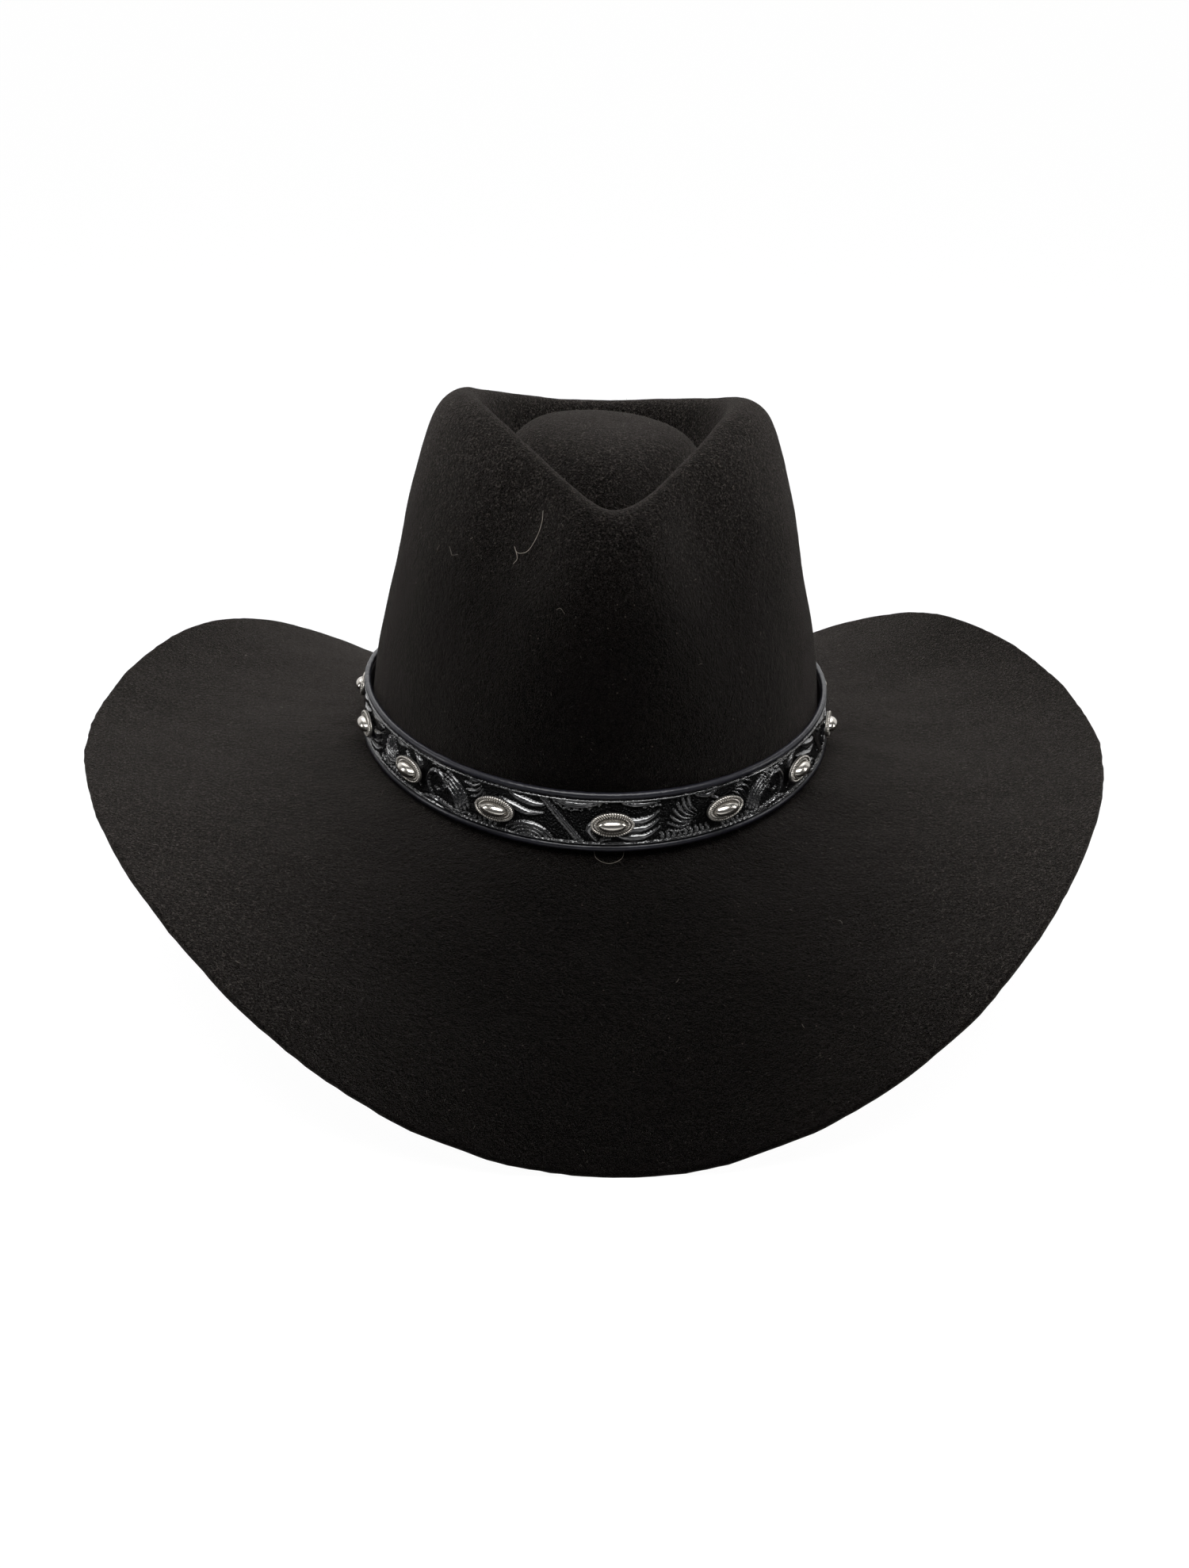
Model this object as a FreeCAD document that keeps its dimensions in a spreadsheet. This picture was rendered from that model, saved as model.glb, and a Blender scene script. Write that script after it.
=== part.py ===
import FreeCAD, Part
import Sketcher
import math
import os

# Western felt hat with a tooled leather hatband and fifteen oval conchos.
# Millimetres, +Z up, front of the hat toward -Y, origin on the ground under the
# middle of the hat, which stands on the front and back edges of its brim.

V = FreeCAD.Vector
doc = FreeCAD.newDocument("western_hat")

# ---------------------------------------------------------------- dimensions
SIZES = [
    # head oval: outer face of the felt at the fold between crown and brim
    ("oval_half_width", 88.4),
    ("oval_half_length", 104.0),
    ("fold_level", 77.1),
    ("fold_dip_front", 6.6),
    ("fold_dip_back", 16.8),
    ("shift_side", 1.0),
    ("shift_front", -3.5),
    ("felt_thickness", 2.4),
    # brim: width along the felt, and its slope at the fold and at the edge
    ("brim_width", 110.6),
    ("brim_extra_front", 7.1),
    ("brim_slope_power", 1.3),
    ("fold_slope_front", -32.2),
    ("fold_slope_front_quarter", -14.0),
    ("fold_slope_side", -12.4),
    ("fold_slope_back_quarter", -19.0),
    ("fold_slope_back", -24.2),
    ("fold_slope_left_extra", 4.4),
    ("edge_slope_front", -41.7),
    ("edge_slope_front_quarter", 15.2),
    ("edge_slope_side", 31.8),
    ("edge_slope_back_quarter", 31.0),
    ("edge_slope_back", -37.0),
    ("edge_slope_left_extra", -14.9),
    # crown: ridge round the top crease, the moat inside it and the dome
    ("ridge_half_width", 58.4),
    ("ridge_front", 60.0),
    ("ridge_back", 64.0),
    ("ridge_level_side", 129.3),
    ("ridge_level_front", 103.3),
    ("ridge_level_back", 116.0),
    ("ridge_front_narrowing", 0.55),
    ("narrowing_power", 1.8),
    ("dome_level", 121.5),
    ("dome_centre_back", 12.0),
    ("dome_flat_radius", 4.0),
    ("moat_depth", 26.0),
    ("pinch_depth", 7.5),
    ("pinch_angle", 52.0),
    ("pinch_spread", 14.0),
    ("crown_lean", 1.6),
    ("crown_tilt_drop", 2.4),
    # hatband
    ("strap_bottom", 1.0),
    ("strap_height", 22.0),
    ("strap_gap_bottom", 1.7),
    ("strap_gap_top", 1.2),
    ("strap_lining_thick", 0.9),
    ("strap_tooled_thick", 1.7),
    ("strap_layer_gap", 0.1),
    ("strap_edge_radius", 1.25),
    ("strap_joint_gap", 0.8),
    ("concho_count", 15),
    ("concho_length", 15.6),
    ("concho_width", 9.0),
    ("concho_plate_thick", 0.9),
    ("concho_rim_width", 0.95),
    ("concho_rim_height", 1.5),
    ("concho_dome_length", 12.4),
    ("concho_dome_width", 6.2),
    ("concho_dome_height", 4.5),
    ("rivet_post_radius", 1.1),
    ("rivet_head_radius", 2.3),
    ("rivet_head_thick", 0.6),
    ("rivet_play", 0.15),
    ("cover_width", 14.0),
    ("cover_height", 15.0),
    ("cover_thick", 1.2),
    ("cover_stud_radius", 2.0),
    ("cover_stud_height", 1.1),
    ("cover_stud_spacing", 7.6),
    # inside of the crown
    ("sweatband_bottom", 2.0),
    ("sweatband_top", 57.0),
    ("sweatband_inset", 1.0),
    ("sweatband_thick", 1.0),
    ("reed_radius", 1.1),
    ("bow_width", 22.0),
    ("bow_height", 8.0),
    ("bow_thick", 1.2),
    ("knot_width", 4.0),
    ("bow_stand_off", 1.1),
    ("liner_thick", 0.3),
    ("liner_inset", 0.35),
    ("liner_low_edge", 44.0),
    ("liner_tip_gap", 1.2),
    ("piping_radius", 0.8),
    ("soft_gap", 0.3),
]

sheet = doc.addObject("Spreadsheet::Sheet", "sizes")
sheet.Label = "sizes"
for row, (alias, number) in enumerate(SIZES, start=1):
    sheet.set("A%d" % row, alias)
    sheet.set("B%d" % row, str(number))
    sheet.setAlias("B%d" % row, alias)
doc.recompute()


def size(alias):
    """A driving dimension, read from the sheet."""
    return float(sheet.get(alias))


# ------------------------------------------------------------- felt surface
# The felt is one smooth surface: a net of control rings from the middle of the
# dome, over the ridge, down the crown and out to the edge of the brim.
COLUMNS = 48
ANGLES = [2.0 * math.pi * column / COLUMNS for column in range(COLUMNS)]
QUARTERS = ("side", "back_quarter", "back", "back_quarter", "side", "front_quarter", "front",
            "front_quarter")
# how much of the left-hand extra slope each eighth of the way round takes
LEFT_SHARE = (0.0, 0.0, 0.0, 0.5, 1.0, 0.5, 0.0, 0.0)
SLOPE_STEPS = 16
# foot of the crown, behind the hatband: outward from the head oval, and up from the fold
FOOT_RINGS = ((0.3, 22.0), (1.0, 9.0), (1.2, 2.5))
# where the brim's control rings lie, as shares of its width
BRIM_SHARES = (0.035, 0.12, 0.3, 0.5, 0.7, 0.87, 0.96, 1.0)


def around(values, angle):
    """Smooth periodic curve through eight values, one each 45 degrees from +X."""
    total = 0.0
    for number, value in enumerate(values):
        away = angle - number * math.pi / 4.0
        away = math.atan2(math.sin(away), math.cos(away))
        if abs(away) < 1e-9:
            weight = 1.0
        else:
            weight = math.sin(4.0 * away) / (8.0 * math.tan(away / 2.0))
        total += value * weight
    return total


def slope_values(which):
    """The brim's slope at the eight places round it: at the fold or at the edge."""
    extra = size(which + "_slope_left_extra")
    return [size("%s_slope_%s" % (which, place)) + share * extra
            for place, share in zip(QUARTERS, LEFT_SHARE)]


def oval_normal(angle):
    """Outward direction, in plan, of the head oval."""
    along_x = math.cos(angle) / size("oval_half_width")
    along_y = math.sin(angle) / size("oval_half_length")
    length = math.hypot(along_x, along_y)
    return V(along_x / length, along_y / length, 0.0)


def fold_point(angle, out=0.0, up=0.0):
    """A point by the fold of the brim, moved outward and upward."""
    dip = size("fold_dip_front") if math.sin(angle) < 0 else size("fold_dip_back")
    base = V(size("oval_half_width") * math.cos(angle) + size("shift_side"),
             size("oval_half_length") * math.sin(angle) + size("shift_front"),
             size("fold_level") - dip * math.sin(angle) ** 2)
    return base + oval_normal(angle) * out + V(0, 0, up)


def brim_point(angle, share):
    """A point of the brim, at a share of its width measured along the felt."""
    at_fold = math.radians(around(slope_values("fold"), angle))
    at_edge = math.radians(around(slope_values("edge"), angle))
    width = size("brim_width") + size("brim_extra_front") * math.sin(angle) ** 2
    out = 0.0
    up = 0.0
    for step in range(SLOPE_STEPS):
        part = (step + 0.5) / SLOPE_STEPS * share
        slope = at_fold + (at_edge - at_fold) * part ** size("brim_slope_power")
        out += math.cos(slope) * width * share / SLOPE_STEPS
        up += math.sin(slope) * width * share / SLOPE_STEPS
    return fold_point(angle, out, up)


def crown_ring(half_width, front, back, levels, narrowing=0.0, centre=0.0, pinch=0.0):
    """One control ring of the crown; levels are at the sides, the front and the back."""
    side_level, front_level, back_level = levels
    ring = []
    for angle in ANGLES:
        cosine = math.cos(angle)
        sine = math.sin(angle)
        forward = max(0.0, -sine)
        rearward = max(0.0, sine)
        x = half_width * cosine * (1.0 - narrowing * ((1.0 - sine) / 2.0) ** size("narrowing_power"))
        y = -front * forward + back * rearward + centre
        z = side_level
        z += (front_level - side_level) * forward ** 2
        z += (back_level - side_level) * rearward ** 2
        for hand in (-1, 1):
            middle = math.atan2(-math.sin(math.radians(size("pinch_angle"))),
                                hand * math.cos(math.radians(size("pinch_angle"))))
            away = math.atan2(math.sin(angle - middle), math.cos(angle - middle))
            push = pinch * math.exp(-(away / math.radians(size("pinch_spread"))) ** 2)
            x -= 0.6 * push * hand
            y += 0.8 * push
        share_up = z / size("ridge_level_side")
        x += size("crown_lean") * share_up
        z -= size("crown_tilt_drop") * share_up ** 3 * (1.0 + cosine) / 2.0
        ring.append(V(x + size("shift_side"), y + size("shift_front"), z + size("fold_level")))
    return ring


def felt_net():
    """Control rings of the felt's outer face, from the dome's middle to the brim's edge."""
    half = size("ridge_half_width")
    front = size("ridge_front")
    back = size("ridge_back")
    high = (size("ridge_level_side"), size("ridge_level_front"), size("ridge_level_back"))
    narrow = size("ridge_front_narrowing")
    dome = size("dome_level")
    centre = size("dome_centre_back")
    moat = size("moat_depth")
    flat = size("dome_flat_radius")
    pinch = size("pinch_depth")
    oval_x = size("oval_half_width")
    oval_y = size("oval_half_length")

    def levels(side, front_part, back_part):
        return (high[0] + side, high[1] + front_part, high[2] + back_part)

    net = [
        # dome
        crown_ring(flat, flat, flat, (dome, dome, dome), centre=centre),
        crown_ring(12, 14, 14, (dome, dome, dome), centre=centre),
        crown_ring(25, 29, 28, (dome - 0.5, dome - 2, dome - 1), 0.3 * narrow, 0.8 * centre),
        crown_ring(37, 40, 42, (dome - 6, dome - 11, dome - 5), 0.5 * narrow, 0.5 * centre),
        # moat between the dome and the ridge
        crown_ring(half - 13, front - 16, back - 14, levels(-moat, -0.45 * moat, -0.9 * moat),
                   0.8 * narrow),
        crown_ring(half - 6.5, front - 9, back - 7.5,
                   levels(-0.8 * moat, -0.4 * moat, -0.75 * moat), narrow),
        # ridge
        crown_ring(half - 5, front - 5.5, back - 5.5, levels(-0.5, -1.5, -0.5), narrow),
        crown_ring(half + 3.5, front + 2.5, back + 3, levels(3.6, 2.6, 3.4), narrow),
        # flanks of the crown
        crown_ring(half + 14, front + 9.5, back + 9, levels(-2.2, -3, -2.2), 0.85 * narrow,
                   pinch=0.5 * pinch),
        crown_ring(half + 17.5, front + 15, back + 14, levels(-18, -15, -14), 0.6 * narrow,
                   pinch=pinch),
        crown_ring(half + 21, front + 21.5, back + 21, levels(-38, -31, -32), 0.35 * narrow,
                   pinch=0.9 * pinch),
        crown_ring(oval_x - 7.5, oval_y - 15.5, oval_y - 12, (70, 57, 59), 0.15 * narrow,
                   pinch=0.35 * pinch),
        crown_ring(oval_x - 2.8, oval_y - 6.5, oval_y - 5, (44, 34, 31)),
    ]
    for out, up in FOOT_RINGS:
        net.append([fold_point(angle, out, up) for angle in ANGLES])
    for share in BRIM_SHARES:
        net.append([brim_point(angle, share) for angle in ANGLES])
    return net


# ------------------------------------------------- evaluating and offsetting
def knots_clamped(rows):
    """Knots of a clamped uniform cubic through so many control rings."""
    inner = list(range(rows - 2))
    return [0, 0, 0] + inner + [rows - 3, rows - 3, rows - 3]


def basis_clamped(rows, place):
    """The cubic basis at a place along the rings: {ring: (value, slope)}."""
    knots = knots_clamped(rows)
    place = min(max(place, 0.0), rows - 3 - 1e-9)
    span = 3 + int(place)
    values = {span: 1.0}
    lower = {}
    for degree in (1, 2, 3):
        lower = values
        values = {}
        for ring in range(span - degree, span + 1):
            total = 0.0
            left = knots[ring + degree] - knots[ring]
            right = knots[ring + degree + 1] - knots[ring + 1]
            if left > 0:
                total += (place - knots[ring]) / left * lower.get(ring, 0.0)
            if right > 0:
                total += (knots[ring + degree + 1] - place) / right * lower.get(ring + 1, 0.0)
            values[ring] = total
    result = {}
    for ring in values:
        slope = 0.0
        left = knots[ring + 3] - knots[ring]
        right = knots[ring + 4] - knots[ring + 1]
        if left > 0:
            slope += 3.0 / left * lower.get(ring, 0.0)
        if right > 0:
            slope -= 3.0 / right * lower.get(ring + 1, 0.0)
        result[ring] = (values[ring], slope)
    return result


def basis_round(place):
    """The uniform periodic cubic basis: [(column, value, slope)]."""
    column = int(math.floor(place))
    f = place - column
    values = ((1 - f) ** 3 / 6, (3 * f ** 3 - 6 * f ** 2 + 4) / 6,
              (-3 * f ** 3 + 3 * f ** 2 + 3 * f + 1) / 6, f ** 3 / 6)
    slopes = (-(1 - f) ** 2 / 2, (3 * f ** 2 - 4 * f) / 2, (-3 * f ** 2 + 2 * f + 1) / 2,
              f ** 2 / 2)
    return [((column - 1 + k) % COLUMNS, values[k], slopes[k]) for k in range(4)]


def surface_at(net, along, place):
    """Point and upward or outward unit normal of the surface of a net."""
    point = V()
    by_row = V()
    by_column = V()
    columns = basis_round(place)
    for ring, (value, slope) in basis_clamped(len(net), along).items():
        for column, weight, change in columns:
            pole = net[ring][column]
            point += pole * (value * weight)
            by_row += pole * (slope * weight)
            by_column += pole * (value * change)
    return point, by_row.cross(by_column).normalize()


def loop_at(poles, place):
    """Point and unit tangent of the closed cubic curve of one control ring."""
    point = V()
    tangent = V()
    for column, weight, change in basis_round(place):
        point += poles[column] * weight
        tangent += poles[column] * change
    return point, tangent.normalize()


def greville(rows, ring):
    """The place along the surface that a control ring belongs to."""
    knots = knots_clamped(rows)
    return (knots[ring + 1] + knots[ring + 2] + knots[ring + 3]) / 3.0


def offset_net(net, distance):
    """The net moved along the surface normal; negative is inward or downward."""
    rows = len(net)
    moved = []
    for ring in range(rows):
        along = greville(rows, ring)
        moved.append([net[ring][column] + surface_at(net, along, column)[1] * distance
                      for column in range(COLUMNS)])
    return moved


# places along the felt: the top of the crown's wall, the fold, and how finely to search between
WALL_START = 6.0
WALL_END = 16.0
WALL_HALVINGS = 14


def wall_at(net, column, level, inset):
    """A point inside the crown's wall, at a level, inset from the outer face."""
    above = WALL_START
    below = WALL_END
    for halving in range(WALL_HALVINGS):
        middle = 0.5 * (above + below)
        if surface_at(net, middle, column)[0].z > level:
            above = middle
        else:
            below = middle
    point, normal = surface_at(net, above, column)
    return point - normal * inset


# --------------------------------------------------------- faces and solids
def net_face(rows, degree=3):
    """A face from control rings, closed round and open along."""
    degree = min(degree, len(rows) - 1)
    spans = len(rows) - degree
    ends = [degree + 1] + [1] * (spans - 1) + [degree + 1]
    surface = Part.BSplineSurface()
    surface.buildFromPolesMultsKnots(rows, ends, [1] * (COLUMNS + 1), list(range(spans + 1)),
                                     list(range(COLUMNS + 1)), False, True, degree, 3)
    return surface.toShape()


def disc_face(ring):
    """The flat face inside a level control ring."""
    curve = Part.BSplineCurve()
    curve.buildFromPolesMultsKnots(ring, [1] * (COLUMNS + 1), list(range(COLUMNS + 1)), True, 3)
    return Part.Face(Part.Wire(curve.toShape()))


SEW_TOLERANCE = 1e-4


def solid_of(faces):
    """Sew faces into one closed solid."""
    shell = Part.makeCompound(faces)
    shell.sewShape(SEW_TOLERANCE)
    solid = Part.Solid(shell.Shells[0] if shell.Shells else Part.Shell(shell.Faces))
    if solid.Volume < 0:
        solid.reverse()
    return solid


def ring_solid(outer, inner):
    """A closed band between an outer and an inner set of control rings."""
    return solid_of([net_face(outer), net_face(inner), net_face([outer[0], inner[0]], 1),
                     net_face([outer[-1], inner[-1]], 1)])


# a round section drawn by a few poles; the factor is the curve's reach as a share of the poles'
SECTION_POLES = 8
SECTION_FACTOR = (2.0 + math.cos(2.0 * math.pi / SECTION_POLES)) / 3.0


def tube_solid(path, radius):
    """A round closed tube along a control ring."""
    rows = []
    for number in range(SECTION_POLES):
        turn = 2.0 * math.pi * number / SECTION_POLES
        ring = []
        for column in range(COLUMNS):
            point = path[column]
            tangent = loop_at(path, column)[1]
            side = tangent.cross(V(0, 0, 1)).normalize()
            upward = side.cross(tangent)
            reach = radius / SECTION_FACTOR
            ring.append(point + side * (reach * math.cos(turn)) + upward * (reach * math.sin(turn)))
        rows.append(ring)
    surface = Part.BSplineSurface()
    surface.buildFromPolesMultsKnots(rows, [1] * (SECTION_POLES + 1), [1] * (COLUMNS + 1),
                                     list(range(SECTION_POLES + 1)), list(range(COLUMNS + 1)),
                                     True, True, 3, 3)
    solid = Part.Solid(Part.Shell([surface.toShape()]))
    if solid.Volume < 0:
        solid.reverse()
    return solid


NODES = []


def add_shape(label, shape):
    """A sub-part whose shape comes from Part's own functions."""
    feature = doc.addObject("Part::Feature", label)
    feature.Label = label
    feature.Shape = shape
    feature.Placement = FreeCAD.Placement()
    NODES.append(feature)
    return feature


# ---------------------------------------------------------------- felt body
felt_outer = felt_net()
felt_inner = offset_net(felt_outer, -size("felt_thickness"))


def make_felt_body():
    """Crown and brim, one sheet of felt between its outer and inner faces."""
    level = felt_inner[0][0].z
    felt_inner[0] = [V(pole.x, pole.y, level) for pole in felt_inner[0]]
    faces = [
        net_face(felt_outer),
        net_face(felt_inner),
        net_face([felt_outer[-1], felt_inner[-1]], 1),
        disc_face(felt_outer[0]),
        disc_face(felt_inner[0]),
    ]
    add_shape("felt_body", solid_of(faces))


# ----------------------------------------------------------------- hatband
def strap_ring(out, up):
    """A control ring of the strap: out from its inner face, up from its lower edge."""
    share = up / size("strap_height")
    foot = FOOT_RINGS[-1][0] + size("strap_gap_bottom")
    head = FOOT_RINGS[0][0] + size("strap_gap_top")
    inner = foot + (head - foot) * share
    return [fold_point(angle, inner + out, size("strap_bottom") + up) for angle in ANGLES]


LENGTH_STEPS = 960


def places_by_length(poles, count):
    """Places round a closed curve, evenly spaced by length, the first at the front."""
    first = 0.75 * COLUMNS
    travelled = [0.0]
    last = loop_at(poles, first)[0]
    for step in range(1, LENGTH_STEPS + 1):
        point = loop_at(poles, first + COLUMNS * step / LENGTH_STEPS)[0]
        travelled.append(travelled[-1] + (point - last).Length)
        last = point
    places = []
    for number in range(count):
        target = travelled[-1] * number / count
        step = max(k for k in range(LENGTH_STEPS) if travelled[k] <= target)
        part = (target - travelled[step]) / (travelled[step + 1] - travelled[step])
        places.append(first + COLUMNS * (step + part) / LENGTH_STEPS)
    return places


def strap_placement(place, out):
    """Placement on the strap: X along it, Y up it, Z outward, at a place round it."""
    middle = size("strap_height") / 2.0
    low = loop_at(strap_ring(out, 0.0), place)[0]
    high = loop_at(strap_ring(out, size("strap_height")), place)[0]
    point, tangent = loop_at(strap_ring(out, middle), place)
    upward = (high - low).normalize()
    outward = tangent.cross(upward).normalize()
    upward = outward.cross(tangent)
    frame = FreeCAD.Rotation(tangent, upward, outward, "XYZ")
    return FreeCAD.Placement(point, frame)


strap_edge_room = 2.0 * size("strap_edge_radius") + size("strap_layer_gap")
tooled_back = size("strap_lining_thick") + size("strap_layer_gap")
tooled_face = tooled_back + size("strap_tooled_thick")
strap_inside = size("strap_height") - strap_edge_room
concho_seat = tooled_face + size("strap_layer_gap")
concho_places = places_by_length(strap_ring(tooled_face, size("strap_height") / 2.0),
                                 int(size("concho_count")))
joint_place = 0.25 * COLUMNS


def cylinder_on_strap(placement, radius, start, length):
    """A cylinder standing out of the strap, start measured from the concho's seat."""
    shape = Part.makeCylinder(radius, length, V(0, 0, start), V(0, 0, 1))
    shape.Placement = placement
    return shape


CUT_REACH = 6.0


def strap_cutters(radius):
    """Holes for the concho rivets, and the gap between the strap's two ends."""
    tools = []
    for place in concho_places:
        seat = strap_placement(place, concho_seat)
        tools.append(cylinder_on_strap(seat, radius, -CUT_REACH, 2.0 * CUT_REACH))
    gap = size("strap_joint_gap")
    slot = Part.makeBox(gap, 2.0 * size("strap_height"), 2.0 * CUT_REACH,
                        V(-gap / 2.0, -size("strap_height"), -CUT_REACH))
    slot.Placement = strap_placement(joint_place, 0.0)
    tools.append(slot)
    return tools


def make_strap():
    """The strap's two layers between its two rolled edges."""
    low = strap_edge_room
    layers = (
        ("strap_lining", 0.0, size("strap_lining_thick"),
         size("rivet_head_radius") + size("rivet_play")),
        ("strap_tooled", tooled_back, tooled_face,
         size("rivet_post_radius") + size("rivet_play")),
    )
    for label, back_face, front_face, hole in layers:
        body = ring_solid([strap_ring(front_face, low), strap_ring(front_face, strap_inside)],
                          [strap_ring(back_face, low), strap_ring(back_face, strap_inside)])
        add_shape(label, body.cut(Part.makeCompound(strap_cutters(hole))).Solids[0])
    middle = tooled_face / 2.0
    for label, up in (("strap_edge_top", size("strap_height") - size("strap_edge_radius")),
                      ("strap_edge_bottom", size("strap_edge_radius"))):
        add_shape(label, tube_solid(strap_ring(middle, up), size("strap_edge_radius")))


def add_ellipse_pad(name, major, minor, height):
    """An oval plate; each argument is an expression over the sheet."""
    outline = doc.addObject("Part::Ellipse", name + "_outline")
    outline.setExpression("MajorRadius", major)
    outline.setExpression("MinorRadius", minor)
    pad = doc.addObject("Part::Extrusion", name)
    pad.Base = outline
    pad.DirMode = "Custom"
    pad.Dir = V(0, 0, 1)
    pad.setExpression("LengthFwd", height)
    pad.Solid = True
    return pad


def add_concho(number, place):
    """An oval concho: a plate with a raised rim and a tall smooth dome."""
    name = "concho_%02d" % number
    plate = add_ellipse_pad(name + "_plate", "sizes.concho_length / 2", "sizes.concho_width / 2",
                            "sizes.concho_plate_thick")
    rim = add_ellipse_pad(name + "_rim", "sizes.concho_length / 2", "sizes.concho_width / 2",
                          "sizes.concho_rim_height")
    well = add_ellipse_pad(name + "_well", "sizes.concho_length / 2 - sizes.concho_rim_width",
                           "sizes.concho_width / 2 - sizes.concho_rim_width",
                           "sizes.concho_rim_height")
    ring = doc.addObject("Part::Cut", name + "_ring")
    ring.Base = rim
    ring.Tool = well
    ball = doc.addObject("Part::Ellipsoid", name + "_ball")
    ball.setExpression("Radius2", "sizes.concho_dome_length / 2")
    ball.setExpression("Radius3", "sizes.concho_dome_width / 2")
    ball.setExpression("Radius1", "sizes.concho_dome_height")
    ball.Angle1 = 0.0
    concho = doc.addObject("Part::MultiFuse", name)
    concho.Shapes = [plate, ring, ball]
    concho.Label = name
    concho.Placement = strap_placement(place, concho_seat)
    NODES.append(concho)


def add_rivets():
    """One post and head for each concho, set through the strap from behind."""
    solids = []
    head_back = tooled_back - size("strap_layer_gap") - size("rivet_head_thick") - concho_seat
    for place in concho_places:
        seat = strap_placement(place, concho_seat)
        head = cylinder_on_strap(seat, size("rivet_head_radius"), head_back,
                                 size("rivet_head_thick"))
        post = cylinder_on_strap(seat, size("rivet_post_radius"), head_back, -head_back)
        solids.append(head.fuse(post).removeSplitter().Solids[0])
    add_shape("concho_rivets", Part.makeCompound(solids))


def bind(sketch, index, expression):
    sketch.setExpression("Constraints[%d]" % index, expression)


def origin_plane(body, role):
    return [plane for plane in body.Origin.OriginFeatures if plane.Role == role][0]


def add_rectangle(sketch, width, height):
    """A rectangle centred on the sketch's origin, its sizes bound to the sheet."""
    corners = [V(-1, -1, 0), V(1, -1, 0), V(1, 1, 0), V(-1, 1, 0)]
    for corner in range(4):
        sketch.addGeometry(Part.LineSegment(corners[corner], corners[(corner + 1) % 4]))
    for corner in range(4):
        sketch.addConstraint(Sketcher.Constraint("Coincident", corner, 2, (corner + 1) % 4, 1))
    for side in (0, 2):
        sketch.addConstraint(Sketcher.Constraint("Horizontal", side))
    for side in (1, 3):
        sketch.addConstraint(Sketcher.Constraint("Vertical", side))
    sketch.addConstraint(Sketcher.Constraint("Symmetric", 0, 1, 2, 1, -1, 1))
    bind(sketch, sketch.addConstraint(Sketcher.Constraint("DistanceX", 0, 1, 0, 2, 2.0)), width)
    bind(sketch, sketch.addConstraint(Sketcher.Constraint("DistanceY", 1, 1, 1, 2, 2.0)), height)


def add_body(label, placement):
    body = doc.addObject("PartDesign::Body", label)
    body.Label = label
    body.Placement = placement
    NODES.append(body)
    return body


def add_pad(body, name, width, height, thick):
    """A rectangular pad on the body's XY plane."""
    sketch = body.newObject("Sketcher::SketchObject", name + "_sketch")
    sketch.AttachmentSupport = [(origin_plane(body, "XY_Plane"), "")]
    sketch.MapMode = "FlatFace"
    add_rectangle(sketch, width, height)
    pad = body.newObject("PartDesign::Pad", name)
    pad.Profile = sketch
    pad.setExpression("Length", thick)
    body.Tip = pad
    return pad


def add_joint_cover():
    """A leather cover over the strap's joint at the back, with a stud at each end."""
    seat = strap_placement(joint_place, concho_seat)
    cover = add_body("joint_cover", seat)
    add_pad(cover, "cover_pad", "sizes.cover_width", "sizes.cover_height", "sizes.cover_thick")
    doc.recompute()
    pad = cover.Tip
    heights = [face.CenterOfMass.z for face in pad.Shape.Faces]
    top_face = "Face%d" % (heights.index(max(heights)) + 1)
    corners = cover.newObject("PartDesign::Fillet", "cover_corners")
    corners.Base = (pad, [top_face])
    corners.setExpression("Radius", "sizes.cover_thick / 3")
    cover.Tip = corners
    studs = []
    for hand in (-1, 1):
        stud = doc.addObject("Part::Ellipsoid", "cover_stud_%s" % ("left" if hand < 0 else "right"))
        stud.setExpression("Radius1", "sizes.cover_stud_height")
        stud.setExpression("Radius2", "sizes.cover_stud_radius")
        stud.setExpression("Radius3", "sizes.cover_stud_radius")
        stud.Angle1 = 0.0
        stud.Placement = seat.multiply(FreeCAD.Placement(
            V(hand * size("cover_stud_spacing") / 2.0, 0, size("cover_thick")),
            FreeCAD.Rotation()))
        studs.append(stud)
    pair = doc.addObject("Part::Compound", "cover_studs")
    pair.Links = studs
    pair.Label = "cover_studs"
    NODES.append(pair)


# ----------------------------------------------------- inside of the crown
def wall_ring(height, inset):
    """A control ring inside the crown, at a height above the fold all round."""
    return [wall_at(felt_outer, column, fold_point(ANGLES[column]).z + height,
                    size("felt_thickness") + inset)
            for column in range(COLUMNS)]


SWEATBAND_ROWS = 5


def make_sweatband():
    """The leather band against the wearer's head, with a reed along its lower edge."""
    low = size("sweatband_bottom")
    high = size("sweatband_top")
    outside = size("sweatband_inset")
    inside = outside + size("sweatband_thick")
    heights = [low + (high - low) * row / (SWEATBAND_ROWS - 1.0) for row in range(SWEATBAND_ROWS)]
    add_shape("sweatband", ring_solid([wall_ring(height, outside) for height in heights],
                                      [wall_ring(height, inside) for height in heights]))
    reed_level = low - size("reed_radius") - size("soft_gap")
    middle = 0.5 * (outside + inside)
    reed_path = [pole + V(0, 0, reed_level - low) for pole in wall_ring(low, middle)]
    add_shape("sweatband_reed", tube_solid(reed_path, size("reed_radius")))


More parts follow.
